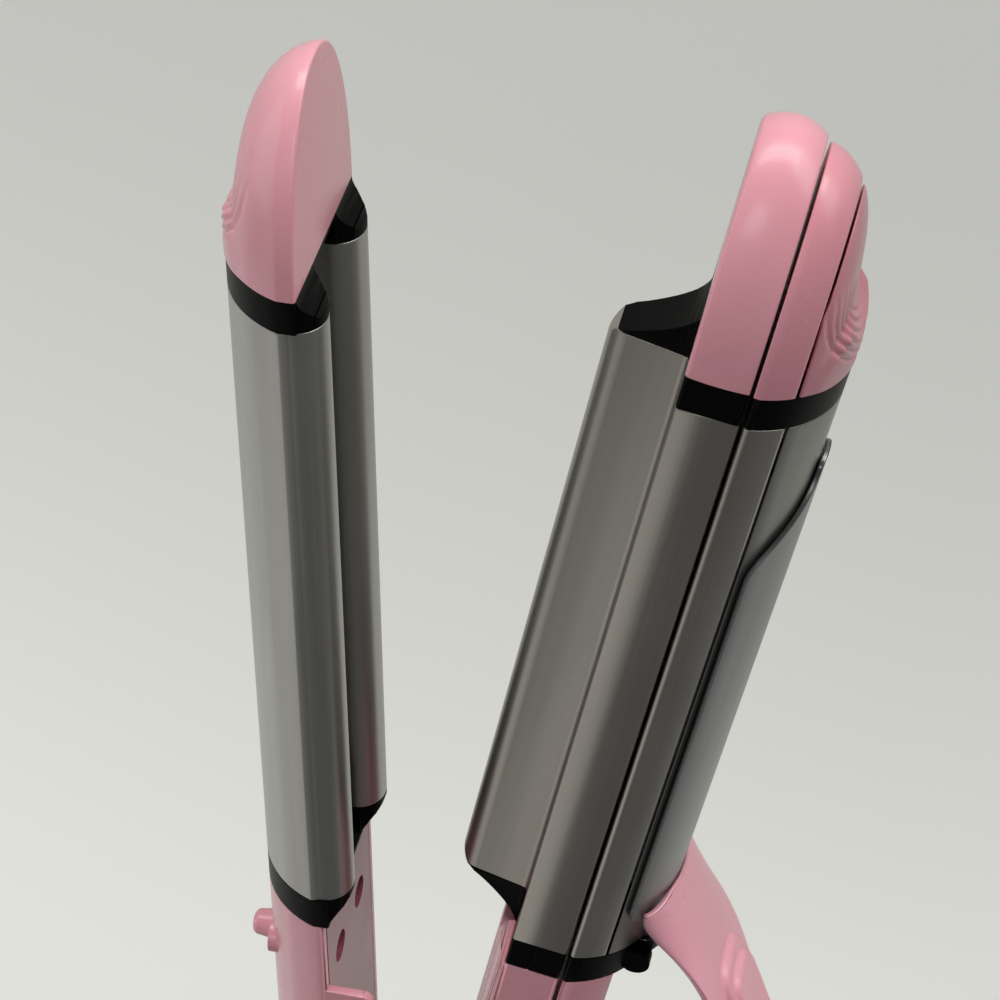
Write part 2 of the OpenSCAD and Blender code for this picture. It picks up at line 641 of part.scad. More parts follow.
// The pin's near end stops inside its lug
clip_pin_end = clip_lug[1] - 0.8;
notch_half = clip_lug[0];
notch_v = clip_pin_v + 3;
module curl_lower_collar() {
    color(black) middle_frame() {
        difference() {
            union() {
                difference() {
                    along(handle_len, low_collar) polygon(closed(curl_half(curl_v)));
                    block([handle_len - 1, barrel_u0 + 1], [curl_bottom - 1, notch_v], [-notch_half, notch_half]);
                }
                both_sides() across(clip_lug[0], clip_lug[1]) {
                    translate([clip_pin_u, clip_pin_v]) circle(clip_lug_r);
                    translate([clip_pin_u - 2, clip_pin_v]) square([4, 4]);
                }
            }
            translate([clip_pin_u, clip_pin_v, -half_w]) cylinder(r = clip_pin_r + 0.01, h = half_w + clip_pin_end);
        }
        block([barrel_u0 - 1, barrel_u0 + tenon_len], [curl_v - 7, curl_v - 2.1], [-8, 8]);
    }
}

// ---------------------------------------------------------------- curling handle
cheek_r = 6.4;
curl_tail = [2 - tail_len, 10.5 - tail_len];
curl_start = 10;
well_u = handle_len - 40;
well_half = 11.5;
well_v = curl_bottom + 5.2;
button_u = [50, 66, 80];
button_r = [4.2, 3.2, 3.2];
button_out = 0.9;
lens_u = 94;
cover_screw_u = [24, handle_len - 22];
swivel_r = 5.5;
swivel_flange = 7.2;

module curl_cavity(u, length, top)
    along(u, length) polygon(closed(hollow_half(top, dome_r - wall, half_w - wall, curl_c, -1)));
module curl_cheeks() {
    both_sides() across(cheek_in, half_w) {
        translate([0, -pin_depth]) circle(cheek_r);
        polygon([[curl_tail[0], curl_v - 2], [curl_tail[0], -8], [curl_tail[0] + 3, -5],
            [0, cheek_r - pin_depth], [cheek_r, -pin_depth], [cheek_r, curl_v - 2]]);
    }
    // Rear wall that holds the swivel
    block(curl_tail, [curl_v - 3, -4.9], [-cheek_in - 1, cheek_in + 1]);
}
module curl_handle_shell() {
    color(pink) middle_frame() difference() {
        union() {
            difference() {
                union() {
                    along(curl_tail[0], handle_len - curl_tail[0]) polygon(closed(curl_half(curl_v - 0.2)));
                    curl_cheeks();
                }
                // Hinge pocket
                block([curl_tail[1], curl_start + wall], [-17, 1], [-cheek_in, cheek_in]);
                // Main cavity and the flat seat of the cover
                curl_cavity(curl_start, well_u - wall - curl_start, curl_v + 1);
                block([well_u - wall - 1, handle_len - wall], [well_v + wall, curl_v + 1], [-11.6, 11.6]);
                block([curl_start, handle_len - wall], [curl_v - 2.1, curl_v + 1], [wall - half_w, half_w - wall]);
                curl_cavity(curl_tail[1], curl_start - curl_tail[1] + 1, -16);
                // Well under the thumb lever
                block([well_u, handle_len + 1], [curl_bottom - 1, well_v], [-well_half, well_half]);
            }
            // Post under the arm spring's lower leg
            block([8.5, 12.5], [curl_bottom + 1, -pin_depth - spring_mean - spring_wire / 2 - 0.1], [-3, 3]);
        }
        // Swivel seat: bore, inner flange and outer flange
        translate([curl_tail[0] - 3, axis_v, 0]) rotate([0, 90, 0]) {
            cylinder(r = swivel_r + turn_fit, h = 14);
            translate([0, 0, 8]) cylinder(r = swivel_flange + gap, h = 7);
        }
        translate([0, -pin_depth, -half_w - 1]) cylinder(r = pin_r + 0.02, h = tool_w + 2);
        // Seats for the pin's head and nut
        both_sides() translate([0, -pin_depth, half_w - 1.2]) cylinder(r = 4.1, h = 3);
        for (i = [0:2]) translate([button_u[i], curl_bottom - 1, 0]) rotate([-90, 0, 0])
            cylinder(r = button_r[i] + gap, h = 6);
        block([lens_u - 3.5, lens_u + 3.5], [curl_bottom - 1, curl_bottom + 4], [-1.6, 1.6]);
    }
}
module curl_handle_cover() {
    color(deep_pink) middle_frame() difference() {
        block([curl_start + 0.1, handle_len - wall - 0.1], [curl_v - 2, curl_v], [wall + 0.1 - half_w, half_w - wall - 0.1]);
        // Channel for the latch's tongue
        block([latch_u - 4.5, latch_u + latch_travel + 4.5], [curl_v - 3, curl_v + 1], [8.4, 11.6]);
        for (u = cover_screw_u) translate([u, curl_v - 3, 0]) rotate([-90, 0, 0]) cylinder(r = 1.4, h = 4);
        for (u = cover_screw_u) translate([u, curl_v - 1, 0]) rotate([-90, 0, 0]) cylinder(r = 2.7, h = 2);
    }
}
module handle_screws() {
    color(steel) middle_frame() for (u = cover_screw_u) translate([u, curl_v - 0.1, 0])
        mirror([0, 1, 0]) screw(2.4, 0.9, 1.2, 3.4);
}
module circuit_board() {
    board_v = curl_bottom + 5.7;
    color("#2e6b3f") middle_frame() {
        block([34, 102], [board_v, board_v + 1.6], [-9.5, 9.5]);
        for (i = [0:2]) block([button_u[i] - 2, button_u[i] + 2], [board_v - 1.2, board_v], [-2, 2]);
        block([lens_u - 2, lens_u + 2], [board_v - 2, board_v], [-1, 1]);
        for (u = [40, 58, 88]) block([u - 2.5, u + 2.5], [board_v + 1.6, board_v + 3.4], [3, 8]);
    }
}
module push_button(i) {
    middle_frame() translate([button_u[i], 0, 0]) {
        translate([0, curl_bottom - button_out, 0]) rotate([-90, 0, 0]) cylinder(r = button_r[i], h = button_out + 3.2);
        translate([0, curl_bottom + 3, 0]) rotate([-90, 0, 0]) cylinder(r = button_r[i] + 0.9, h = 0.8);
    }
}
module power_button() color("#c46b7e") push_button(0);
module warmer_button() color(pink) push_button(1);
module cooler_button() color(pink) push_button(2);
module indicator_lens() {
    color("#f4f4f0") middle_frame()
        block([lens_u - 3.4, lens_u + 3.4], [curl_bottom - 0.1, curl_bottom + 3], [-1.5, 1.5]);
}

// ---------------------------------------------------------------- hinge and inlet
module hinge_pin() {
    color(steel) middle_frame() translate([0, -pin_depth, 0]) {
        translate([0, 0, -half_w + 0.2]) cylinder(r = pin_r, h = tool_w - 0.4);
        translate([0, 0, half_w - 1.2]) cylinder(r = 4, h = 1);
    }
}
module hinge_nut() {
    color(steel) middle_frame() translate([0, -pin_depth, -half_w + 0.2]) difference() {
        cylinder(r = 4, h = 1);
        translate([0, 0, -1]) cylinder(r = pin_r, h = 3);
    }
}
module cord_swivel() {
    color(black) middle_frame() translate([-tail_len, axis_v, 0]) rotate([0, 90, 0]) difference() {
        union() {
            cylinder(r = swivel_flange, h = curl_tail[0] + tail_len - gap);
            cylinder(r = swivel_r, h = curl_tail[1] + tail_len + 0.5);
            translate([0, 0, tail_len + curl_tail[0] + 5.3]) cylinder(r = swivel_flange, h = 2.5);
        }
        translate([0, 0, -1]) cylinder(r = inlet_r, h = 20);
    }
}

// A round wire along a path: rings of six points square to the path
function unit(v) = v / norm(v);
module wire(path, r) {
    n = len(path);
    skin([for (i = [0:n - 1]) let (
            t = unit(path[min(i + 1, n - 1)] - path[max(i - 1, 0)]),
            a = unit(cross(t, abs(t[2]) < 0.9 ? [0, 0, 1] : [1, 0, 0])),
            b = cross(t, a))
        [for (k = [5:-1:0]) path[i] + r * (cos(60 * k) * a + sin(60 * k) * b)]]);
}
function least_gap(path, d, skip) = min([for (i = [0:len(path) - 1]) for (j = [i + skip:len(path) - 1])
    if (j < len(path)) norm(path[i] - path[j]) - d]);
spring_mean = 3.6;
function coil(c, r, a0, turns, w0, w1) = let (n = round(8 * abs(turns)))
    [for (i = [0:n]) let (a = a0 + 360 * turns * i / n) [c[0] + r * cos(a), c[1] + r * sin(a), mix(w0, w1, i / n)]];
arm_spring_path = let (half = spring_half - spring_wire / 2) concat(
    [[12, -pin_depth - spring_mean, -half], [6, -pin_depth - spring_mean, -half]],
    coil([0, -pin_depth], spring_mean, 270, -4.25, -half, half),
    [[-spring_mean, -pin_depth + 5, half], [-spring_mean, -pin_depth + 9, half]]);
module arm_spring() color(steel) middle_frame() wire(arm_spring_path, spring_wire / 2);
echo(arm_spring_gap = least_gap(arm_spring_path, spring_wire, 6));

// ---------------------------------------------------------------- clip
clip_r0 = dome_r + gap;
clip_r1 = clip_r0 + clip_t;
clip_tongue = 11.5;
clip_back = barrel_u0 + 8.8;
taper_u = [clip_end - 21.5, clip_end - 1.5];
// Half angle of the plate at a station: full, an S taper, then a rounded tongue
function clip_half_angle(u) =
    u > clip_end - 2.2 ? clip_tongue * sqrt(max(0.02, 1 - pow((u - clip_end + 2.2) / 2.3, 2)))
    : u > taper_u[0] ? mix(clip_angle, clip_tongue, smooth(min(1, (u - taper_u[0]) / (taper_u[1] - taper_u[0]))))
    : u < clip_back + 3 ? clip_angle - 10 * (1 - sqrt(max(0, 1 - pow((clip_back + 3 - u) / 3, 2))))
    : clip_angle;
clip_stations = concat([for (i = [0:4]) clip_back + 3 * (1 - cos(22.5 * i))],
    [for (i = [0:14]) mix(taper_u[0], taper_u[1], i / 14)], [for (i = [1:4]) clip_end - 2.2 + 2.2 * sin(22.5 * i)]);
module clip_plate() {
    m = 12;
    color(silver) middle_frame() difference() {
        skin([for (u = clip_stations) let (a = clip_half_angle(u)) concat(
            [for (i = [0:m]) let (t = mix(-a, a, i / m)) [u, curl_c - clip_r0 * cos(t), clip_r0 * sin(t)]],
            [for (i = [0:m]) let (t = mix(a, -a, i / m)) [u, curl_c - clip_r1 * cos(t), clip_r1 * sin(t)]])],
            thin = true);
        for (w = [-rivet_w, rivet_w]) translate([rivet_u, curl_bottom - 4, w]) rotate([-90, 0, 0])
            cylinder(r = rivet_r + 0.05, h = 6, $fn = 24);
    }
}
rivet_u = clip_back + 1.5;
rivet_w = 2.7;
rivet_r = 0.95;
strip_end = rivet_u + 1.2;
bracket_t = 0.8;
strip_v = curl_c - clip_r1 - 0.05;
bracket_w = 7.4;
module clip_bracket() {
    color(steel) middle_frame() difference() {
        union() {
            block([clip_pin_u + 3.4, clip_pin_u + 8], [strip_v - bracket_t, strip_v], [-bracket_w, bracket_w]);
            block([clip_pin_u + 7, strip_end], [strip_v - bracket_t, strip_v], [-rivet_w - 1.5, rivet_w + 1.5]);
            both_sides() across(bracket_w - 1, bracket_w) {
                translate([clip_pin_u, clip_pin_v]) circle(2.4);
                polygon([[clip_pin_u + 0.5, clip_pin_v - 2.3], [clip_pin_u + 2.1, clip_pin_v + 1],
                    [clip_pin_u + 2.9, clip_pin_v - 0.9], [clip_pin_u + 5, strip_v], [clip_pin_u + 8, strip_v],
                    [clip_pin_u + 8, strip_v - bracket_t], [clip_pin_u + 3.4, strip_v - bracket_t]]);
            }
        }
        translate([clip_pin_u, clip_pin_v, -20]) cylinder(r = clip_pin_r + turn_fit, h = 40);
        for (w = [-rivet_w, rivet_w]) translate([rivet_u, strip_v - 2, w]) rotate([-90, 0, 0])
            cylinder(r = rivet_r + 0.05, h = 4);
        translate([lever_screw_u, strip_v - 2, 0]) rotate([-90, 0, 0]) cylinder(r = 1.05, h = 4);
    }
}
module clip_rivets() {
    color(steel) middle_frame() for (w = [-rivet_w, rivet_w])
        translate([rivet_u, strip_v - bracket_t - 0.3, w]) rotate([-90, 0, 0]) {
            cylinder(r = rivet_r, h = bracket_t + 0.9);
            cylinder(r = rivet_r + 0.3, h = 0.3);
        }
}
module clip_pin() {
    color(steel) middle_frame() translate([clip_pin_u, clip_pin_v, -clip_lug[1]])
        cylinder(r = clip_pin_r, h = clip_lug[1] + clip_pin_end);
}
lever_screw_u = clip_pin_u + 7.4;
module clip_lever_screw() {
    color(steel) middle_frame() translate([lever_screw_u, strip_v + 0.85, 0]) mirror([0, 1, 0]) screw(1.9, 0.8, 0.95, 2.8);
}

// Thumb lever: an arched shell between a crest line and two edge lines, all in (u, v)
function bezier(p, t) = let (s = 1 - t)
    s * s * s * p[0] + 3 * s * s * t * p[1] + 3 * s * t * t * p[2] + t * t * t * p[3];
function from_pin(u, drop) = [clip_pin_u + u, curl_bottom - drop];
lever_crest = [[clip_pin_u + 17.3, strip_v], from_pin(5.8, 9.5), from_pin(-3.7, 13.5), from_pin(-38.2, 34)];
lever_edge = [from_pin(14.6, -2.6), from_pin(1.8, 2), from_pin(8.8, 14), from_pin(-36.2, 25.5)];
lever_steps = 18;
lever_arc = 12;
function lever_close(t) = t > 0.86 ? sqrt(max(0.04, 1 - pow((t - 0.86) / 0.15, 2))) : 1;
// One line across the lever at t, moved inwards by inset, from the angle -span to span
function lever_line(t, inset, span = 90) = let (
        c = bezier(lever_crest, t), e = bezier(lever_edge, t),
        d = unit(bezier(lever_crest, min(1, t + 0.01)) - bezier(lever_crest, max(0, t - 0.01))),
        top = c + [d[1], -d[0]] * inset,
        half = (lever_w / 2) * mix(1, 0.86, t) * lever_close(t) - inset * 0.8)
    [for (i = [0:lever_arc]) let (a = mix(-span, span, i / lever_arc), q = top + (e - c) * (1 - cos(a)))
        [q[0], q[1], half * sin(a)]];
// Keeps a point at least r from the curling arm's long axis
function keep_off(p, r) = let (n = norm([p[1] - curl_c, p[2]]))
    n >= r || p[0] < clip_back - 3 ? p : [p[0], curl_c + (p[1] - curl_c) * r / n, p[2] * r / n];
module clip_lever() {
    color(pink) middle_frame() {
        // The shell, hollowed over the bracket's strip and its rivets
        difference() {
            lever_shell();
            block([clip_pin_u + 2.9, strip_end + gap], [strip_v - bracket_t - 0.45, strip_v + 3],
                [-rivet_w - 1.8, rivet_w + 1.8]);
        }
        // Stepped thumb pad: two raised levels
        for (level = [[0.5, 0.92, 34, 1.2], [0.56, 0.86, 27, 2.4]])
            skin([for (k = [6:-1:0]) let (t = mix(level[0], level[1], k / 6))
                concat(lever_line(t, 0.4, level[2] * pad_round(k / 6)),
                    [for (i = [lever_arc:-1:0]) lever_line(t, -level[3], level[2] * pad_round(k / 6))[i]])],
                thin = true);
        // Post that the lever's screw goes into
        difference() {
            translate([lever_screw_u, strip_v - bracket_t - 0.05, 0]) rotate([90, 0, 0]) cylinder(r = 2.6, h = lever_post);
            translate([lever_screw_u, strip_v, 0]) rotate([90, 0, 0]) cylinder(r = 0.95, h = 4.4);
        }
    }
}
module lever_shell()
    skin([for (k = [lever_steps:-1:0])
        let (t = k / lever_steps, o = lever_line(t, 0), n = lever_line(t, lever_t * mix(0.5, 1, min(1, 8 * t))))
        concat([for (p = n) keep_off(p, clip_r1 + 0.1)],
            [for (i = [lever_arc:-1:0]) keep_off(o[i], clip_r1 + 0.7)])], thin = true);
function pad_round(s) = sqrt(max(0.2, 1 - pow(2 * s - 1, 2)));
lever_post = 5.2;
clip_wire = 0.9;
clip_coil_r = 1.75;
clip_spring_path = let (half = bracket_w - 2) concat(
    [[clip_pin_u - 9, clip_pin_v + clip_coil_r, -half], [clip_pin_u - 3.5, clip_pin_v + clip_coil_r, -half]],
    coil([clip_pin_u, clip_pin_v], clip_coil_r, 90, -5.25, -half, half),
    [for (p = [[1.6, -2.2], [1, -4], [1.6, -5.6], [5, -6.4]]) [clip_pin_u + p[0], clip_pin_v + p[1], half]]);
module clip_spring() color(steel) middle_frame() wire(clip_spring_path, clip_wire / 2);
echo(clip_spring_gap = least_gap(clip_spring_path, clip_wire, 6));

wave_tip();
wave_upper_collar();
wave_barrel();
wave_lower_collar();
wave_handle_shell();
wave_handle_cover();
wave_heaters();
wave_screws();
middle_tip();
middle_upper_collar();
middle_barrel();
middle_plate();
middle_lower_collar();
middle_handle_shell();
middle_handle_cover();
middle_heater();
mode_latch();
curl_tip();
curl_tip_cap();
curl_upper_collar();
curl_plate();
curl_barrel();
curl_lower_collar();
curl_handle_shell();
curl_handle_cover();
curl_heater();
heat_spreader();
clip_plate();
clip_bracket();
clip_rivets();
clip_lever();
clip_lever_screw();
clip_pin();
clip_spring();
circuit_board();
power_button();
warmer_button();
cooler_button();
indicator_lens();
cord_swivel();
hinge_pin();
hinge_nut();
arm_spring();
handle_screws();
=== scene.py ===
"""Looks of a three-arm hair waver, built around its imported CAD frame.

Lengths in this file are millimetres in the part's own letters: u along an arm, v from
its mating plane, w across. They become metres in the row frame in Arm.place.
"""

import json
import logging
import math
from dataclasses import dataclass
from enum import Enum
from typing import Sequence

import bmesh
import bpy
import numpy as np
from mathutils import Matrix


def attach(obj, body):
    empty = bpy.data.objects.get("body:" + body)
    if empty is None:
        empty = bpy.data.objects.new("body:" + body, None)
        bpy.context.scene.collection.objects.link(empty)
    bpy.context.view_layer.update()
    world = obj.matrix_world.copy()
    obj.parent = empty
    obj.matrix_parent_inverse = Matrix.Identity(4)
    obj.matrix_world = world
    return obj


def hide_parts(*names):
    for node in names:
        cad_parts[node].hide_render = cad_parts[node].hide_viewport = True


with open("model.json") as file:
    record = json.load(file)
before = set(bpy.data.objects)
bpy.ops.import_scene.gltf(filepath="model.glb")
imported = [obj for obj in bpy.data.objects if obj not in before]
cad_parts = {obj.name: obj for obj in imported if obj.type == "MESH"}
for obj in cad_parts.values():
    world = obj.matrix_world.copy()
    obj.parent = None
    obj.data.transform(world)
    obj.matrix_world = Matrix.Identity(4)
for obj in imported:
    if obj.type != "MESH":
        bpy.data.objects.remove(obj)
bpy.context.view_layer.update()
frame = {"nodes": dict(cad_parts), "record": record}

log = logging.getLogger("scene")
Points = np.ndarray


# ------------------------------------------------------------------ dimensions
@dataclass(frozen=True)
class Dims:
    """The part's lengths, in millimetres, with the values that follow from them."""

    handle_len: float = 148.0
    barrel_len: float = 124.0
    low_collar: float = 6.7
    top_collar: float = 6.0
    tip_len: float = 32.7
    half_w: float = 16.4
    dome_r: float = 17.3
    band_h: float = 2.8
    middle_t: float = 9.6
    split_gap: float = 0.6
    ridge_h: float = 12.6
    ridge_r: float = 3.6
    ridge_root: float = 4.8
    hollow_d: float = 1.3
    groove_w: float = 12.4
    groove_d: float = 11.0
    lobe_r: float = 4.9
    lobe_drop: float = 3.4
    open_angle: float = 10.9
    closed_gap: float = 3.0
    pin_depth: float = 10.0
    tail_len: float = 22.0
    curl_band: float = 1.0
    plate_d: float = 5.8
    part_gap: float = 0.4
    axis_v: float = -12.0
    barrel_wall: float = 1.6
    gap: float = 0.3
    clip_t: float = 0.8
    clip_angle: float = 48.4
    clip_tongue: float = 11.5
    clip_short: float = 6.5
    lever_w: float = 25.0
    lever_t: float = 2.0
    arch_power: float = 2.1
    crest_fall: float = 2.6

    @property
    def barrel_u0(self) -> float:
        return self.handle_len + self.low_collar

    @property
    def barrel_u1(self) -> float:
        return self.barrel_u0 + self.barrel_len

    @property
    def tip_u(self) -> float:
        return self.barrel_u1 + self.top_collar

    @property
    def dome_rise(self) -> float:
        return math.sqrt(self.dome_r**2 - self.half_w**2)

    @property
    def wave_c(self) -> float:
        return self.band_h - self.dome_rise

    @property
    def curl_v(self) -> float:
        return -self.middle_t - self.split_gap

    @property
    def curl_c(self) -> float:
        return self.curl_v - self.curl_band + self.dome_rise

    @property
    def curl_bottom(self) -> float:
        return self.curl_c - self.dome_r

    @property
    def clip_pin_u(self) -> float:
        return self.handle_len + 3.2

    @property
    def clip_end(self) -> float:
        return self.barrel_u1 - 6.2

    @property
    def clip_back(self) -> float:
        return self.barrel_u0 + 8.8

    @property
    def clip_r0(self) -> float:
        return self.dome_r + self.gap

    @property
    def clip_r1(self) -> float:
        return self.clip_r0 + self.clip_t

    @property
    def strip_v(self) -> float:
        return self.curl_c - self.clip_r1 - 0.05


D = Dims()


class Arm(Enum):
    """The two frames that pieces are written in."""

    MIDDLE = "middle"
    WAVE = "wave"

    @property
    def angle(self) -> float:
        """Turn about the hinge, in radians."""
        return math.radians(D.open_angle) if self is Arm.WAVE else 0.0

    def place(self, points: Points) -> Points:
        """Moves arm points to the row frame.

        Args:
            points: array whose last axis is (u, v, w) in millimetres.
        Returns:
            The same array in metres: the arm's turn about the hinge, then its shift.
        """
        u, v, w = points[..., 0], points[..., 1], points[..., 2]
        if self is Arm.MIDDLE:
            return np.stack([u + D.tail_len, v - D.axis_v, w], -1) / 1000.0
        c, s = math.cos(self.angle), math.sin(self.angle)
        raised = v + D.pin_depth + D.closed_gap
        x, y = c * u - s * raised, s * u + c * raised
        return np.stack([x + D.tail_len, y - D.axis_v - D.pin_depth, w], -1) / 1000.0


# ------------------------------------------------------------------ surfaces
def mix(a, b, t):
    """a + (b - a) t."""
    return a + (b - a) * t


def smooth(t):
    """3 t^2 - 2 t^3 with t held in 0..1."""
    t = np.clip(t, 0.0, 1.0)
    return t * t * (3 - 2 * t)


def stack(*columns) -> Points:
    """Columns broadcast to one array of points."""
    return np.stack(np.broadcast_arrays(*columns), -1).astype(float)


def arc(centre: Sequence[float], r: float, a0: float, a1: float, n: int) -> Points:
    """centre + r (cos a, sin a) for n + 1 angles a from a0 to a1, in degrees."""
    a = np.radians(np.linspace(a0, a1, n + 1))
    return np.stack([centre[0] + r * np.cos(a), centre[1] + r * np.sin(a)], 1)


def mirrored(half: Points) -> Points:
    """A half outline (v, w) with w >= 0 and its mirror image in w, as one closed outline."""
    other = half[::-1][half[::-1, 1] > 1e-3] * [1, -1]
    return np.concatenate([half, other])


@dataclass
class Surface:
    """Points and faces of one closed piece, in millimetres of its arm."""

    points: Points
    faces: list

    @staticmethod
    def loft(rings: Points, round_trip: bool = False) -> "Surface":
        """A closed surface through rings of equal length.

        Args:
            rings: array (m, n, 3); point j of ring i joins point j of ring i + 1.
            round_trip: joins the last ring to the first; otherwise one polygon closes each of them.
        Returns:
            The surface; quad (i, j) has corners (i, j), (i, j+1), (i+1, j+1), (i+1, j).
        """
        m, n = rings.shape[:2]
        steps = m if round_trip else m - 1
        i, j = np.meshgrid(np.arange(steps), np.arange(n), indexing="ij")
        k, nj = (i + 1) % m, (j + 1) % n
        quads = np.stack([i * n + j, i * n + nj, k * n + nj, k * n + j], -1).reshape(-1, 4)
        faces = quads.tolist()
        if not round_trip:
            faces += [list(range(n))[::-1], list(range((m - 1) * n, m * n))]
        return Surface(rings.reshape(-1, 3), faces)

    @staticmethod
    def lathe(profile: Points, centre: Sequence[float], n: int = 64) -> "Surface":
        """Turns a profile about v: centre + (r sin a, h, r cos a).

        Args:
            profile: points (r, h) from one pole or end to the other; r may be 0 at an end.
            centre: where height 0 of the axis lies.
            n: steps round the axis.
        """
        a = 2 * np.pi * np.arange(n) / n
        r, h = np.maximum(profile[:, :1], 1e-4), profile[:, 1:2]
        return Surface.loft(stack(r * np.sin(a), h, r * np.cos(a)) + np.asarray(centre, float))

    @staticmethod
    def bush(profile: Points, centre: Sequence[float], n: int = 72) -> "Surface":
        """Turns a closed profile (r, h) about u: centre + (h, r cos a, r sin a)."""
        a = 2 * np.pi * np.arange(n) / n
        r, h = profile[:, :1], profile[:, 1:2]
        rings = stack(h, r * np.cos(a), r * np.sin(a)) + np.asarray(centre, float)
        return Surface.loft(rings, round_trip=True)

    @staticmethod
    def tube(path: Points, r: float, n: int = 12) -> "Surface":
        """A round wire: p + r (cos a A + sin a B), A and B square to the path's tangent."""
        t = np.gradient(path, axis=0)
        t /= np.linalg.norm(t, axis=1, keepdims=True)
        up = np.where(np.abs(t[:, 2:3]) < 0.9, [[0.0, 0.0, 1.0]], [[1.0, 0.0, 0.0]])
        a_axis = np.cross(t, up)
        a_axis /= np.linalg.norm(a_axis, axis=1, keepdims=True)
        b_axis = np.cross(t, a_axis)
        a = 2 * np.pi * np.arange(n) / n
        around = np.cos(a)[:, None] * a_axis[:, None] + np.sin(a)[:, None] * b_axis[:, None]
        return Surface.loft(path[:, None] + r * around)

    @staticmethod
    def sweep(outline: Points, stations: Sequence[float], shape=None) -> "Surface":
        """An outline (v, w) carried through stations u.

        Args:
            outline: closed outline, array (n, 2).
            stations: the u of each ring.
            shape: optional function (u, v, w) -> (v, w) that bends the outline at a station.
        """
        u = np.asarray(stations, float)[:, None]
        v, w = outline[None, :, 0], outline[None, :, 1]
        if shape is not None:
            v, w = shape(u, v, w)
        return Surface.loft(stack(u, v, w))


@dataclass(frozen=True)
class Edges:
    """How sharp edges are broken: bevel width, limit angle, steps, shortest edge that gets a bevel."""

    width: float = 0.0
    angle: float = 34.0
    segments: int = 2
    shortest: float = 0.0


SOFT = Edges(0.3, shortest=1.0)
FINE = Edges(0.12, segments=1, shortest=0.6)
PLAIN = Edges()
ENDS = Edges(0.22, angle=55.0)
PRESSED = Edges(0.22, angle=50.0, segments=3)
MOULDED = Edges(0.45, angle=60.0, segments=3)


def linked(name: str, data) -> bpy.types.Object:
    """A new object for some data, in the scene."""
    obj = bpy.data.objects.new(name, data)
    bpy.context.scene.collection.objects.link(obj)
    return obj


def soften(obj: bpy.types.Object, edges: Edges) -> None:
    """Smooth shading below an angle, and a small bevel on the long outer edges above it.

    Args:
        obj: the piece.
        edges: bevel width and shortest edge in millimetres, and the limit angle in degrees.
    """
    mesh = obj.data
    work = bmesh.new()
    work.from_mesh(mesh)
    bmesh.ops.recalc_face_normals(work, faces=work.faces)
    if work.calc_volume(signed=True) < 0:
        bmesh.ops.reverse_faces(work, faces=work.faces)
    limit, name = math.radians(edges.angle), "bevel_weight_edge"
    layer = work.edges.layers.float.get(name) or work.edges.layers.float.new(name)
    for edge in work.edges:
        sharp = len(edge.link_faces) == 2 and edge.calc_face_angle(0.0) > limit
        edge.smooth = not sharp
        long_enough = edge.calc_length() * 1000 >= edges.shortest
        edge[layer] = 1.0 if sharp and edge.is_convex and long_enough else 0.0
    for face in work.faces:
        face.smooth = True
    work.to_mesh(mesh)
    work.free()
    if edges.width > 0:
        bevel = obj.modifiers.new("edge", "BEVEL")
        bevel.width = edges.width / 1000
        bevel.segments = edges.segments
        bevel.limit_method = "WEIGHT"
        bevel.use_clamp_overlap = False
        bevel.harden_normals = True


record = frame["record"]
SLOT_OF = {part["node"]: part["material_slot"] for part in record["subparts"]}
BODY_OF = {node: body for body, group in record["behaviour"]["bodies"].items() for node in group}


WELD = 2e-6
FLAT = math.radians(0.4)


@dataclass
class Piece:
    """One finished object that stands for a CAD node."""

    obj: bpy.types.Object
    node: str

    @staticmethod
    def from_surface(node: str, surface: Surface, arm: Arm, edges: Edges) -> "Piece":
        """Makes a piece from a computed surface.

        Args:
            node: the CAD node that the piece stands for; it rides with that node's body.
            surface: points in millimetres of the arm.
            arm: the frame that the surface is written in.
            edges: how sharp edges are broken.
        """
        mesh = bpy.data.meshes.new(f"{node}_look")
        mesh.from_pydata(arm.place(surface.points).tolist(), [], surface.faces)
        mesh.validate(clean_customdata=False)
        return Piece.register(node, mesh, edges)

    @staticmethod
    def from_node(node: str, edges: Edges) -> "Piece":
        """Makes a piece from a merged copy of a CAD node, its flat triangles joined to faces."""
        mesh = frame["nodes"][node].data.copy()
        mesh.materials.clear()
        work = bmesh.new()
        work.from_mesh(mesh)
        bmesh.ops.remove_doubles(work, verts=work.verts, dist=WELD)
        bmesh.ops.dissolve_limit(work, angle_limit=FLAT, verts=work.verts, edges=work.edges)
        work.to_mesh(mesh)
        work.free()
        return Piece.register(node, mesh, edges)

    @staticmethod
    def register(node: str, mesh: bpy.types.Mesh, edges: Edges) -> "Piece":
        """Links the object, breaks its edges, ties it to its body and hides its CAD node."""
        obj = linked(f"{node}_look", mesh)
        soften(obj, edges)
        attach(obj, BODY_OF[node])
        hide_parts(node)
        return Piece(obj, node)

    def dress(self, material: bpy.types.Material) -> None:
        """Gives the piece its material."""
        self.obj.data.materials.clear()
        self.obj.data.materials.append(material)


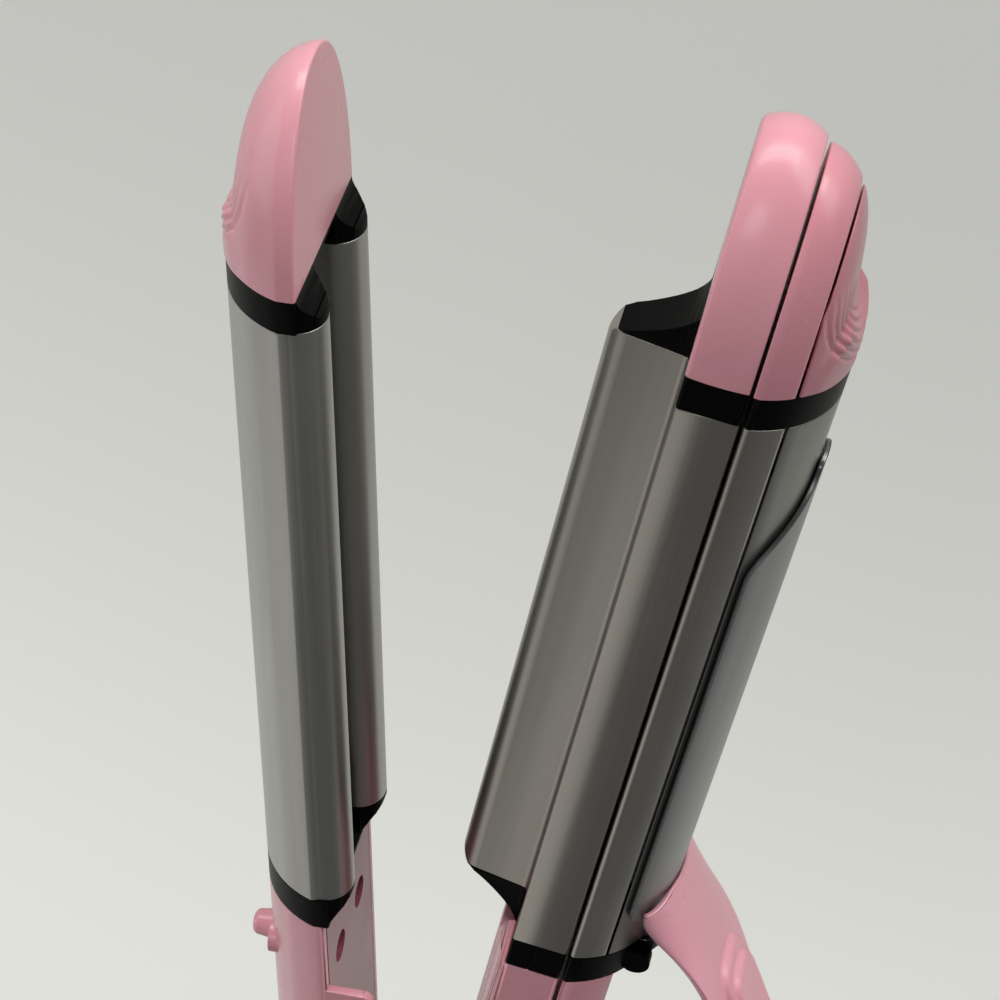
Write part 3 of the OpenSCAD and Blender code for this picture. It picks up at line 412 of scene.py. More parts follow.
# ------------------------------------------------------------------ materials
class Sock:
    """A node output that can be used in sums; colours and vectors go through their own nodes."""

    def __init__(self, sheet: "Sheet", out: bpy.types.NodeSocket):
        self.sheet, self.out = sheet, out

    @property
    def is_vector(self) -> bool:
        return self.out.type in ("VECTOR", "RGBA")

    def _math(self, operation: str, *terms) -> "Sock":
        """One Math node, or one Vector Math node where a term is a vector or a colour."""
        vector = any(isinstance(t, (tuple, list)) or (isinstance(t, Sock) and t.is_vector) for t in terms)
        kind = "ShaderNodeVectorMath" if vector else "ShaderNodeMath"
        if vector:
            terms = [(t, t, t) if isinstance(t, (int, float)) else t for t in terms]
        return self.sheet.node(kind, {"operation": operation}, *terms)

    def __add__(self, other):
        return self._math("ADD", self, other)

    def __radd__(self, other):
        return self._math("ADD", other, self)

    def __sub__(self, other):
        return self._math("SUBTRACT", self, other)

    def __rsub__(self, other):
        return self._math("SUBTRACT", other, self)

    def __mul__(self, other):
        return self._math("MULTIPLY", self, other)

    def __rmul__(self, other):
        return self._math("MULTIPLY", other, self)

    def __truediv__(self, other):
        return self._math("DIVIDE", self, other)

    def __rtruediv__(self, other):
        return self._math("DIVIDE", other, self)

    def __pow__(self, other):
        return self._math("POWER", self, other)

    def __neg__(self):
        return self._math("MULTIPLY", self, -1.0)

    def between(self, low: float, high: float) -> "Sock":
        """0 below low, 1 above high, smooth in between; low may be the larger one."""
        settings = {"interpolation_type": "SMOOTHSTEP"}
        return self.sheet.node("ShaderNodeMapRange", settings, self, low, high, 0.0, 1.0)

    def tint(self, a, b) -> "Sock":
        """Colour a where this is 0, colour b where it is 1."""
        return self.sheet.node("ShaderNodeMix", {"data_type": "RGBA"}, named={0: self, 6: a, 7: b}, out=2)


class Sheet:
    """The node tree of one material."""

    def __init__(self, name: str):
        self.material = bpy.data.materials.new(name)
        self.material.use_nodes = True
        self.tree = self.material.node_tree
        self.tree.nodes.clear()
        self.place = self.node("ShaderNodeTexCoord", {}, out="Object")

    def feed(self, socket: bpy.types.NodeSocket, value) -> None:
        """Links a Sock to an input, or writes a constant on it."""
        if isinstance(value, Sock):
            self.tree.links.new(value.out, socket)
        elif socket.type == "RGBA" and len(value) == 3:
            socket.default_value = (*value, 1.0)
        else:
            socket.default_value = value

    def node(self, kind: str, settings: dict, *values, named: dict | None = None, out=0) -> Sock:
        """Adds any node.

        Args:
            kind: the node's type name.
            settings: its properties.
            values: socket values in order; None leaves a socket as it is.
            named: more socket values, by the socket's name or number.
            out: name or number of the output that is wanted.
        """
        node = self.tree.nodes.new(kind)
        for key, value in settings.items():
            setattr(node, key, value)
        for socket, value in zip(node.inputs, values):
            if value is not None:
                self.feed(socket, value)
        for key, value in (named or {}).items():
            self.feed(node.inputs[key], value)
        return Sock(self, node.outputs[out])

    def noise(self, at: Sock, scale: float, detail: float = 3.0, rough: float = 0.55) -> Sock:
        """Fractal noise about 0.5; scale counts cells in a metre."""
        return self.node("ShaderNodeTexNoise", {}, at, None, scale, detail, rough)

    def cells(self, at: Sock, scale: float) -> Sock:
        """Distance to the nearest of scattered points."""
        return self.node("ShaderNodeTexVoronoi", {}, at, None, scale)

    def turned(self, angle: float, stretch: Sequence[float]) -> Sock:
        """Object coordinates along an arm, each axis multiplied by its stretch."""
        turn = (0, 0, -angle)
        along = self.node("ShaderNodeMapping", {"vector_type": "POINT"}, self.place, (0, 0, 0), turn)
        return along * tuple(stretch)

    def bump(self, height: Sock, depth_mm: float, strength: float = 1.0) -> Sock:
        """Normal of a height between 0 and 1 that stands for depth_mm."""
        values = {"Strength": strength, "Distance": depth_mm / 1000, "Height": height}
        return self.node("ShaderNodeBump", {}, named=values)

    def finish(self, color, rough, metallic: float = 0.0, coat: float = 0.0, normal=None, **constants):
        """Ends the tree with a Principled surface."""
        named = {"Base Color": color, "Roughness": rough, "Metallic": metallic, "Coat Weight": coat}
        named.update({key.replace("_", " "): value for key, value in constants.items()})
        if normal is not None:
            named["Normal"] = normal
        surface = self.node("ShaderNodeBsdfPrincipled", {}, named=named)
        output = self.tree.nodes.new("ShaderNodeOutputMaterial")
        self.feed(output.inputs[0], surface)
        return self.material


@dataclass(frozen=True)
class MouldedGloss:
    """Polished moulded plastic: soft clouds, dust specks, a few hair scuffs, fine orange peel."""

    name: str
    color: tuple
    deep: tuple
    rough: float = 0.26
    coat: float = 0.15

    def build(self) -> bpy.types.Material:
        sheet = Sheet(self.name)
        at = sheet.place
        clouds = sheet.noise(at, 34, 3).between(0.34, 0.7)
        fine = sheet.noise(at, 900, 2)
        dust = sheet.cells(at, 150).between(0.045, 0.02) * sheet.noise(at, 60, 1).between(0.56, 0.66)
        scuffs = sheet.noise(at * (260.0, 1500.0, 700.0), 1, 2).between(0.7, 0.78)
        color = clouds.tint(self.color, self.deep)
        color = (dust * 0.6).tint(color, tuple(c * 0.35 for c in self.deep))
        rough = self.rough + clouds * 0.05 + scuffs * 0.16 + dust * 0.2
        peel = sheet.noise(at, 420, 1.5) * 0.8 + fine * 0.2
        normal = sheet.bump(peel, 0.02, 0.35)
        return sheet.finish(color, rough, coat=self.coat - scuffs * 0.2, normal=normal, Coat_Roughness=0.12,
                            Subsurface_Weight=0.06, Subsurface_Scale=0.002)


@dataclass(frozen=True)
class SatinResin:
    """Heat-proof black resin: fine grain, paler rub marks."""

    name: str
    color: tuple
    rough: float = 0.42

    def build(self) -> bpy.types.Material:
        sheet = Sheet(self.name)
        at = sheet.place
        grain = sheet.noise(at, 2600, 2)
        rubs = sheet.noise(at * (300.0, 900.0, 900.0), 1, 3).between(0.6, 0.8)
        color = (rubs * 0.5).tint(self.color, tuple(c * 2.2 + 0.001 for c in self.color))
        rough = self.rough + grain * 0.12 - rubs * 0.1
        return sheet.finish(color, rough, normal=sheet.bump(grain, 0.012, 0.5), Specular_IOR_Level=0.045)


@dataclass(frozen=True)
class CoatedMetal:
    """Metal with fine streaks along the arm, faint dark heat clouds and tiny rub marks."""

    name: str
    color: tuple
    pale: tuple
    rough: float
    angle: float = 0.0
    metallic: float = 0.9
    streak: float = 0.5

    def build(self) -> bpy.types.Material:
        sheet = Sheet(self.name)
        lines = sheet.noise(sheet.turned(self.angle, (14.0, 2400.0, 2400.0)), 1, 3)
        bands = sheet.noise(sheet.turned(self.angle, (6.0, 260.0, 260.0)), 1, 2).between(0.3, 0.7)
        clouds = sheet.noise(sheet.place, 22, 3).between(0.35, 0.7)
        pits = sheet.cells(sheet.turned(self.angle, (300.0, 420.0, 420.0)), 1).between(0.08, 0.03)
        shade = lines * self.streak + bands * 0.3 + clouds * 0.25
        color = (shade - 0.1).tint(self.color, self.pale)
        color = (pits * 0.25).tint(color, tuple(c * 0.4 for c in self.color))
        rough = self.rough + lines * 0.12 + clouds * 0.05
        normal = sheet.bump(lines, 0.006, 0.5)
        return sheet.finish(color, rough, self.metallic, normal=normal, Anisotropic=0.3)


@dataclass(frozen=True)
class Zinc:
    """Bright plated steel with a mottled spangle and fine turning marks."""

    name: str
    color: tuple

    def build(self) -> bpy.types.Material:
        sheet = Sheet(self.name)
        spangle = sheet.cells(sheet.place, 900)
        fine = sheet.noise(sheet.place, 3000, 2)
        color = spangle.between(0.1, 0.8).tint(self.color, tuple(c * 0.7 for c in self.color))
        return sheet.finish(color, 0.22 + fine * 0.16, 1.0, normal=sheet.bump(fine, 0.008, 0.4))


@dataclass(frozen=True)
class Speckled:
    """Dull solid with grains of a second colour."""

    name: str
    color: tuple
    grain: tuple
    scale: float = 900.0
    rough: float = 0.5
    metallic: float = 0.0

    def build(self) -> bpy.types.Material:
        sheet = Sheet(self.name)
        dots = sheet.cells(sheet.place, self.scale).between(0.5, 0.2)
        fine = sheet.noise(sheet.place, self.scale * 3, 2)
        color = (dots * 0.6).tint(self.color, self.grain)
        normal = sheet.bump(fine, 0.01, 0.4)
        return sheet.finish(color, self.rough + fine * 0.15, self.metallic, normal=normal)


@dataclass(frozen=True)
class Board:
    """Green solder resist with a maze of tracks and pale pads."""

    name: str
    color: tuple
    track: tuple

    def build(self) -> bpy.types.Material:
        sheet = Sheet(self.name)
        steps = sheet.node("ShaderNodeTexBrick", {"offset": 0.5}, sheet.place * (240.0, 240.0, 240.0),
                           (1, 1, 1), (0.2, 0.2, 0.2), (0, 0, 0), 1.0, 0.12, out=1)
        pads = sheet.cells(sheet.place, 260).between(0.2, 0.14)
        color = steps.tint(self.color, self.track)
        color = pads.tint(color, (0.55, 0.5, 0.4))
        return sheet.finish(color, 0.3 + pads * 0.1, normal=sheet.bump(steps, 0.03, 0.6))


@dataclass(frozen=True)
class Milky:
    """Milky clear plastic that lets light into its skin, with a faint clouding."""

    name: str
    color: tuple

    def build(self) -> bpy.types.Material:
        sheet = Sheet(self.name)
        clouds = sheet.noise(sheet.place, 700, 2).between(0.3, 0.7)
        color = clouds.tint(self.color, tuple(c * 0.86 for c in self.color))
        return sheet.finish(color, 0.18 + clouds * 0.1, Subsurface_Weight=0.4, Subsurface_Scale=0.003)


FINISHES = {finish.name: finish for finish in (
    MouldedGloss("pink_gloss", (0.80, 0.365, 0.42), (0.76, 0.33, 0.385)),
    MouldedGloss("pink_deep", (0.42, 0.12, 0.16), (0.36, 0.1, 0.135), 0.34, 0.15),
    # a brighter copy of pink_gloss for the lever: painted light on its lit face
    MouldedGloss("pink_lever_painted_light", (0.95, 0.45, 0.53), (0.92, 0.42, 0.49)),
    # a darker copy of pink_gloss for the curling tip: painted shade
    MouldedGloss("pink_under_painted_shade", (0.70, 0.30, 0.35), (0.67, 0.275, 0.32)),
    # a darker copy of pink_gloss for the tip cap: painted shade on its side turned from the lamps
    MouldedGloss("pink_cap_painted_shade", (0.58, 0.24, 0.28), (0.55, 0.22, 0.26)),
    SatinResin("black_resin", (0.0022, 0.0022, 0.0022), 0.3),
    CoatedMetal("barrel_metal", (0.33, 0.31, 0.275), (0.47, 0.45, 0.415), 0.27),
    # a darker copy of barrel_metal for the curling barrel: painted shade
    CoatedMetal("barrel_metal_round_painted_shade", (0.185, 0.182, 0.17), (0.265, 0.262, 0.25), 0.27),
    CoatedMetal("barrel_metal_turned", (0.33, 0.325, 0.3), (0.47, 0.465, 0.44), 0.27, Arm.WAVE.angle),
    # clip_metal is darkened well below the barrel metal: painted shade on the clip, which faces away from
    # the lamps
    CoatedMetal("clip_metal", (0.175, 0.18, 0.178), (0.245, 0.253, 0.25), 0.26),
    CoatedMetal("spreader_metal", (0.5, 0.51, 0.52), (0.62, 0.63, 0.64), 0.35),
    Zinc("fastener_steel", (0.55, 0.55, 0.56)),
    Speckled("heater_ceramic", (0.78, 0.74, 0.66), (0.6, 0.55, 0.46)),
    Board("board", (0.02, 0.13, 0.05), (0.05, 0.24, 0.1)),
    Milky("lens", (0.82, 0.82, 0.78)),
)}
_built: dict = {}


def material(name: str) -> bpy.types.Material:
    """The material of a finish, built when it is first asked for."""
    if name not in _built:
        _built[name] = FINISHES[name].build()
    return _built[name]


# ------------------------------------------------------------------ tips
@dataclass(frozen=True)
class TipForm:
    """Side view of a tip's back: depth(s) = mix(a, b, s) (1 - s^n)^0.58, s from foot to end."""

    a: float
    b: float
    n: float

    def depth(self, s: Points) -> Points:
        return mix(self.a, self.b, s) * np.maximum(0.0, 1 - s**self.n) ** 0.58

    def reach(self, d: Points) -> Points:
        """The share s at which the tip has the depth d, read back from depth(s)."""
        s = 1 - np.linspace(0, 1, 4001) ** 2
        return np.interp(d, self.depth(s), s)


@dataclass(frozen=True)
class GripBoss:
    """The push boss at a tip's foot: a tongue on the round back with nested U grooves."""

    length: float = 13.0
    half: float = 12.8
    rise: float = 0.2
    rim: float = 2.5
    groove_d: float = 0.5
    groove_half: float = 0.36
    fade: float = 11.0
    fade_lead: float = 5.0
    foot: float = 0.8
    rings: tuple = (11.5, 10.1, 8.7, 7.3, 5.9, 4.5)
    line_u: tuple = (0, 2, 4, 5.5, 7, 8.5, 10, 13)
    line_v: tuple = (0, 0.15, 0.1, -0.15, -0.8, -1.6, -2.5, -4.2)

    def lift(self, u: Points, w: Points, e: Points) -> Points:
        """Raises the back and cuts the grooves.

        Args:
            u: distance from the tip's foot.
            w: distance across from the middle.
            e: the back's distance from its centre line.
        Returns:
            e + max(0, boss - e) edge - groove_d sum(exp(-((q - r) / groove_half)^2)) fade, where boss is
            the lower of the round tongue and its side line, edge falls to 0 over the tongue's last rim,
            and q is the distance from the grooves' common centre below it and |w| above it.
        """
        tongue = np.sqrt(np.maximum(0.0, (D.dome_r + self.rise) ** 2 - w**2))
        side = D.dome_r + np.interp(u, self.line_u, self.line_v)
        below = np.hypot(u - self.length + self.half, w)
        inside = self.half - np.where(u < self.length - self.half, np.abs(w), below)
        boss = np.minimum(tongue, side)
        raised = e + np.maximum(0.0, boss - e) * smooth(inside / self.rim)
        q = np.where(u < self.length, np.hypot(u - self.length, w), np.abs(w))
        cut = sum(np.exp(-(((q - r) / self.groove_half) ** 2)) for r in self.rings)
        fade = 1 - smooth((u - self.length + self.fade_lead) / self.fade)
        return raised - self.groove_d * cut * fade * smooth(u / self.foot)


def arch(length: Points, half: Points, v: Points, count: int = 161) -> Points:
    """Rings of a tip: superellipse arches in (u, w), one for each length, half width and v.

    u = tip_u + length |cos q|^(2/p), w = half sign(sin q) |sin q|^(2/p) with the power p, and q
    between (pi/2) t and asin t so that the points are even both along the arch and across it.
    """
    t = np.linspace(-1, 1, count)
    q = mix(np.pi / 2 * t, np.arcsin(t), 0.5)
    power = 2 / D.arch_power
    u = D.tip_u + np.abs(length)[:, None] * np.abs(np.cos(q)) ** power
    w = half[:, None] * np.sign(np.sin(q)) * np.abs(np.sin(q)) ** power
    return stack(u, v[:, None], w)


def rounded(start: float, r: float, out: int) -> tuple:
    """Depths and insets of a quarter round that leads from depth start + out r to the flat at start."""
    t = np.radians(np.linspace(0, 90, 7)[1:])
    return start + out * r * (1 - np.sin(t)), r * (1 - np.cos(t))


@dataclass(frozen=True)
class Tip:
    """A tip cap on a round back, between two depths below its mating plane."""

    form: TipForm
    length: float
    plane_v: float
    side: int
    centre_v: float
    band: float
    start: float
    end: float = 0.0
    edge_r: float = 0.5
    inner_r: float = 0.3
    rows: int = 30
    turn: float = 0.5

    def half_width(self, d: Points) -> Points:
        """half_w in the side band, sqrt(R^2 - e^2) on the round back."""
        e = d - self.side * (self.centre_v - self.plane_v)
        return np.where(d < self.band, D.half_w, np.sqrt(np.maximum(0.0, D.dome_r**2 - e * e)))

    def surface(self) -> Surface:
        """Rings from the back (or the inner parting) to the mating side, the last one rounded over.

        The share s runs evenly up to turn and as 1 - q^2 past it, where the back's end gets steep.
        """
        near = self.start + self.edge_r
        if self.end:
            d_in, inset_in = rounded(self.end, self.inner_r, -1)
            d = np.concatenate([d_in[::-1], np.linspace(self.end - self.inner_r, near, self.rows)])
            inset = np.concatenate([inset_in[::-1], np.zeros(self.rows)])
            s = self.form.reach(d)
        else:
            last = float(self.form.reach(near))
            q = np.linspace(math.sqrt(1 - self.turn), math.sqrt(1 - last), 2 * self.rows + 1)[1:]
            s = np.concatenate([np.linspace(0.003, self.turn, 84), 1 - q * q])
            d, inset = self.form.depth(s), np.zeros(len(s))
        d_out, inset_out = rounded(self.start, self.edge_r, 1)
        d, inset = np.concatenate([d, d_out]), np.concatenate([inset, inset_out])
        s = np.concatenate([s, self.form.reach(d_out)])
        rings = arch(self.length * s - inset, self.half_width(d) - inset, self.plane_v + self.side * d)
        if not self.end:
            e = self.side * (rings[..., 1] - self.centre_v)
            lifted = GripBoss().lift(rings[..., 0] - D.tip_u, rings[..., 2], e)
            rings[..., 1] = self.centre_v + self.side * lifted
        return Surface.loft(rings)


def middle_tip_surface(near_r: float = 0.6, far_r: float = 0.25, rows: int = 26) -> Surface:
    """Slab with a bulged edge: reach tip_len + 0.6 + 2 (1 - e^2), half width half_w - 0.3 e^2, |e| < 1."""
    (near, inset_near), (far, inset_far) = rounded(0.0, near_r, 1), rounded(0.0, far_r, 1)
    flat = np.linspace(near_r, D.middle_t - far_r, rows)
    depth = np.concatenate([near[::-1], flat, D.middle_t - far])
    inset = np.concatenate([inset_near[::-1], np.zeros(rows), inset_far])
    e = 2 * depth / D.middle_t - 1
    length = D.tip_len + 0.6 + 2 * (1 - e * e)
    return Surface.loft(arch(length - inset, D.half_w - 0.3 * e * e - inset, -depth))


# ------------------------------------------------------------------ barrels and clip
def wave_outline() -> Points:
    """Wave barrel: the groove, a lobe of radius lobe_r on each side of it, and the round back."""
    groove_r = D.groove_w / 2
    lobe = (D.lobe_r - D.lobe_drop, groove_r + D.lobe_r)
    side = math.degrees(math.asin(D.half_w / D.dome_r))
    return mirrored(np.concatenate([
        arc((D.groove_d - groove_r, 0), groove_r, 0, 90, 36),
        arc(lobe, D.lobe_r, -90, -270, 60),
        arc((D.wave_c, 0), D.dome_r, side, 0, 72)]))


def middle_outline() -> Points:
    """Middle barrel: ridge, a hollow of depth hollow_d beside it, side, recess of the heat plate."""
    edge, root, cut = D.half_w - 1, D.ridge_root + 0.5, 0.4
    ledge, recess_v, cavity_w, cavity_v = D.half_w - 1.9, 2.2 - D.middle_t, 11, -3
    i = np.arange(1, 36) / 36
    hollow = np.stack([-D.hollow_d * np.sin(np.pi * i), mix(root, edge, i)], 1)
    foot = [[0.9, D.ridge_root - 0.2], [0.25, D.ridge_root], [0, root]]
    side = [[0, edge], [0, D.half_w - cut], [-cut, D.half_w], [cut - D.middle_t, D.half_w],
            [-D.middle_t, D.half_w - cut], [-D.middle_t, ledge], [recess_v, ledge],
            [recess_v, cavity_w], [cavity_v, cavity_w], [cavity_v, 0]]
    crest = arc((D.ridge_h - D.ridge_r, 0), D.ridge_r, 0, 84, 40)
    return mirrored(np.concatenate([crest, foot, hollow, side]))


def crest_limit(u: Points, v: Points, w: Points) -> tuple:
    """Lowers the ridge's crest over crest_fall at each end: v = min(v, ridge_h - 1.4 x^1.6), x = 0..1."""
    past = np.maximum(u - D.barrel_u1, D.barrel_u0 - u) + D.crest_fall
    x = np.maximum(0.0, past) / D.crest_fall
    return np.minimum(v, D.ridge_h - 1.4 * x**1.6), w + 0 * u


def under_arc(r: float, angles: Points) -> Points:
    """Points (curl_c - r cos t, r sin t) of a circle about the curling arm's long axis."""
    return np.stack([D.curl_c - r * np.cos(angles), r * np.sin(angles)], 1)


def plate_outline() -> Points:
    """Curling arm's plate: a shallow channel whose sides follow the round back to the parting."""
    part_v, cut, wall = D.curl_v - D.plate_d, 0.4, D.barrel_wall
    side, parting = math.asin(D.half_w / D.dome_r), math.acos((D.curl_c - part_v) / D.dome_r)
    outer = under_arc(D.dome_r, np.linspace(side, parting, 16))
    step, floor, inner_w = D.curl_v - 3.2, D.curl_v - 1.9, D.half_w - 2 * wall
    inner = [[part_v, outer[-1, 1] - wall], [step, inner_w], [floor, inner_w], [floor, 0]]
    first = [[D.curl_v, 0], [D.curl_v, D.half_w - cut], [D.curl_v - cut, D.half_w]]
    return mirrored(np.concatenate([first, outer, inner]))


def round_barrel_outline() -> Points:
    """Curling barrel: the strip between two concentric arcs below the parting."""
    v0 = D.curl_v - D.plate_d - D.part_gap
    arcs = []
    for r, way in ((D.dome_r, 1), (D.dome_r - D.barrel_wall, -1)):
        t = math.acos((D.curl_c - v0) / r)
        arcs.append(under_arc(r, np.linspace(-t, t, 140)[::way]))
    return np.concatenate(arcs)


def clip_surface(fall: float = 17.5, lead: float = 1.5, nose: float = 2.2, corner: float = 3.0) -> Surface:
    """Pressed clip: the strip |a| < h(u) between two concentric arcs.

    h is clip_angle, falls in an S (3 x^2 - 2 x^3) to clip_tongue, ends in an ellipse, and is rounded
    by a circle at the back. The tongue is clip_short shorter than the solid's, as in the photograph.

    Args:
        fall: length of the S along the arm.
        lead: how far ahead of the tongue's end the S stops.
        nose: length of the ellipse.
        corner: radius of the circle.
    """
    end = D.clip_end - D.clip_short
    start, stop = end - lead - fall, end - lead
    u = np.concatenate([D.clip_back + corner * (1 - np.cos(np.radians(np.linspace(0, 90, 13)))),
                        np.linspace(D.clip_back + 8, start, 12)[:-1], np.linspace(start, stop, 60),
                        end - nose + nose * np.sin(np.radians(np.linspace(20, 89.5, 16)))])
    h = mix(D.clip_angle, D.clip_tongue, smooth((u - start) / fall))
    x = (u - end + nose) / (nose + 0.1)
    h = np.where(u > end - nose, D.clip_tongue * np.sqrt(np.clip(1 - x**2, 0.02, 1)), h)
    back = np.clip((D.clip_back + corner - u) / corner, 0, 1)
    h = h - 10 * (1 - np.sqrt(1 - back**2))
    t = np.radians(h[:, None] * np.linspace(-1, 1, 61))
    skins = [stack(u[:, None], D.curl_c - r * np.cos(t), r * np.sin(t)) for r in (D.clip_r0, D.clip_r1)]
    return Surface.loft(np.concatenate([skins[0], skins[1][:, ::-1]], axis=1))


# ------------------------------------------------------------------ thumb lever
@dataclass(frozen=True)
class Lever:
    """The arched thumb lever between a crest curve and its edge curve, both cubic in (u, v)."""

    steps: int = 90
    across: int = 72
    round_from: float = 0.86
    narrow: float = 0.86
    plan_power: float = 3.2
    pads: tuple = ((0.5, 0.93, 36.0, 1.1), (0.56, 0.87, 28.0, 1.1))

    @staticmethod
    def curve(corners: Sequence, t: Points) -> Points:
        """s^3 p0 + 3 s^2 t p1 + 3 s t^2 p2 + t^3 p3 with s = 1 - t."""
        p, s = np.array(corners, float), 1 - t[:, None]
        t = t[:, None]
        return s**3 * p[0] + 3 * s * s * t * p[1] + 3 * s * t * t * p[2] + t**3 * p[3]

    @staticmethod
    def from_pin(u: float, drop: float) -> tuple:
        return D.clip_pin_u + u, D.curl_bottom - drop

    def lines(self, t: Points, inset: Points) -> Points:
        """Lines across the lever: crest + n inset + (edge - crest)(1 - cos a), w = half sin a."""
        at = self.from_pin
        crest = [(D.clip_pin_u + 17.3, D.strip_v), at(5.8, 9.5), at(-3.7, 13.5), at(-38.2, 34)]
        edge = [at(14.6, -2.6), at(1.8, 2), at(8.8, 14), at(-36.2, 25.5)]
        c, e = self.curve(crest, t), self.curve(edge, t)
        d = self.curve(crest, np.minimum(1, t + 0.01)) - self.curve(crest, np.maximum(0, t - 0.01))
        d /= np.linalg.norm(d, axis=1, keepdims=True)
        a = np.radians(np.linspace(-90, 90, self.across + 1))[None, :, None]
        inset = np.broadcast_to(inset, (len(t), self.across + 1))
        past = (t - self.round_from) / (1.01 - self.round_from)
        close = np.where(past > 0, np.sqrt(np.clip(1 - past**2, 0.04, 1)), 1.0)
        half = (D.lever_w / 2 * mix(1, self.narrow, t) * close)[:, None] - inset * 0.8
        normal = np.stack([d[:, 1], -d[:, 0]], 1)[:, None]
        uv = c[:, None] + normal * inset[..., None] + (e - c)[:, None] * (1 - np.cos(a))
        return stack(uv[..., 0], uv[..., 1], half * np.sin(a[..., 0]))

    @staticmethod
    def keep_off(p: Points, r: float) -> Points:
        """Moves points out to the radius r about the curling arm's long axis, ahead of the clip's back."""
        n = np.hypot(p[..., 1] - D.curl_c, p[..., 2])
        push = np.where((n < r) & (p[..., 0] > D.clip_back - 3), r / np.maximum(n, 1e-6), 1.0)
        return stack(p[..., 0], D.curl_c + (p[..., 1] - D.curl_c) * push, p[..., 2] * push)

    def pad(self, t: Points) -> Points:
        """Height of the stepped thumb pad: soft-edged plateaus (from t, to t, half angle, step)."""
        a = np.linspace(-90, 90, self.across + 1)[None]
        height, p = np.zeros((len(t), self.across + 1)), self.plan_power
        for low, high, span, step in self.pads:
            s = 2 * (t[:, None] - low) / (high - low) - 1
            inside = 1 - (np.abs(s) ** p + np.abs(a / span) ** p) ** (1 / p)
            height += step * smooth(inside / 0.12)
        return height

    def surface(self) -> Surface:
        """Outer skin with the pad, joined to the inner skin lever_t behind it."""
        end = np.sin(np.radians(np.linspace(3, 90, 24)))
        t = np.concatenate([np.linspace(0, self.round_from, self.steps), mix(self.round_from, 1, end)])
        thick = D.lever_t * mix(0.5, 1, np.minimum(1, 8 * t))[:, None]
        outer = self.keep_off(self.lines(t, -self.pad(t)), D.clip_r1 + 0.7)
        inner = self.keep_off(self.lines(t, thick), D.clip_r1 + 0.1)
        return Surface.loft(np.concatenate([outer, inner[:, ::-1]], axis=1))


def coil(centre: Sequence, r: float, a0: float, turns: float, w0: float, w1: float) -> Points:
    """A helix: centre + r (cos a, sin a), w from w0 to w1, 28 steps a turn."""
    i = np.linspace(0, 1, int(28 * abs(turns)) + 1)
    a = np.radians(a0 + 360 * turns * i)
    return np.stack([centre[0] + r * np.cos(a), centre[1] + r * np.sin(a), mix(w0, w1, i)], 1)


def eased(path: Sequence, n: int = 6) -> Points:
    """A polyline with n points on each of its pieces."""
    p = np.array(path, float)
    i = np.linspace(0, len(p) - 1, n * (len(p) - 1) + 1)
    return np.stack([np.interp(i, np.arange(len(p)), p[:, k]) for k in range(3)], 1)


# ------------------------------------------------------------------ sub-assemblies
@dataclass
class Assembly:
    """Pieces that belong together. Subclasses list their computed surfaces and copied nodes."""

    name: str

    def surfaces(self) -> dict:
        """Computed pieces: CAD node -> (surface, arm, edges)."""
        return {}

    def copies(self) -> dict:
        """Copied pieces: CAD node -> edges."""
        return {}

    def finish_of(self, node: str) -> str:
        """The finish a node wears; its record slot unless a subclass says otherwise."""
        return SLOT_OF[node]

    def build(self) -> list:
        """Makes and dresses every piece.

        Returns:
            The finished pieces, in order.
        """
        made = [Piece.from_surface(node, *spec) for node, spec in self.surfaces().items()]
        made += [Piece.from_node(node, edges) for node, edges in self.copies().items()]
        for piece in made:
            piece.dress(material(self.finish_of(piece.node)))
            log.info("%s: %s, %d faces", self.name, piece.obj.name, len(piece.obj.data.polygons))
        return made



def each(nodes: Sequence[str], edges: Edges) -> dict:
    """The same edges for several nodes."""
    return dict.fromkeys(nodes, edges)


class WaveArm(Assembly):
    """Upper arm: grooved barrel, its tip and collars, handle."""

    def surfaces(self) -> dict:
        tip = Tip(TipForm(a=11.9, b=11.9, n=3.6), D.tip_len, 0.0, 1, D.wave_c, D.band_h, 0.0)
        barrel = Surface.sweep(wave_outline(), (D.barrel_u0, D.barrel_u1))
        return {"wave_tip": (tip.surface(), Arm.WAVE, PLAIN), "wave_barrel": (barrel, Arm.WAVE, ENDS)}

    def copies(self) -> dict:
        return (each(("wave_upper_collar", "wave_lower_collar"), FINE)
                | each(("wave_handle_shell", "wave_handle_cover"), SOFT)
                | each(("wave_heaters", "wave_screws"), FINE))

    def finish_of(self, node: str) -> str:
        return "barrel_metal_turned" if node == "wave_barrel" else super().finish_of(node)


class MiddleArm(Assembly):
    """Middle arm: ridged barrel, tip, collars, handle and the mode latch."""

    def surfaces(self) -> dict:
        fall = np.linspace(0, D.crest_fall, 9)
        stations = np.concatenate([D.barrel_u0 + fall, D.barrel_u1 - fall[::-1]])
        barrel = Surface.sweep(middle_outline(), stations, crest_limit)
        return {"middle_tip": (middle_tip_surface(), Arm.MIDDLE, PLAIN),
                "middle_barrel": (barrel, Arm.MIDDLE, ENDS)}

    def copies(self) -> dict:
        fine = ("middle_upper_collar", "middle_lower_collar")
        soft = ("middle_handle_shell", "middle_handle_cover", "middle_plate")
        return each(fine, FINE) | each(soft, SOFT) | each(("middle_heater", "mode_latch"), FINE)


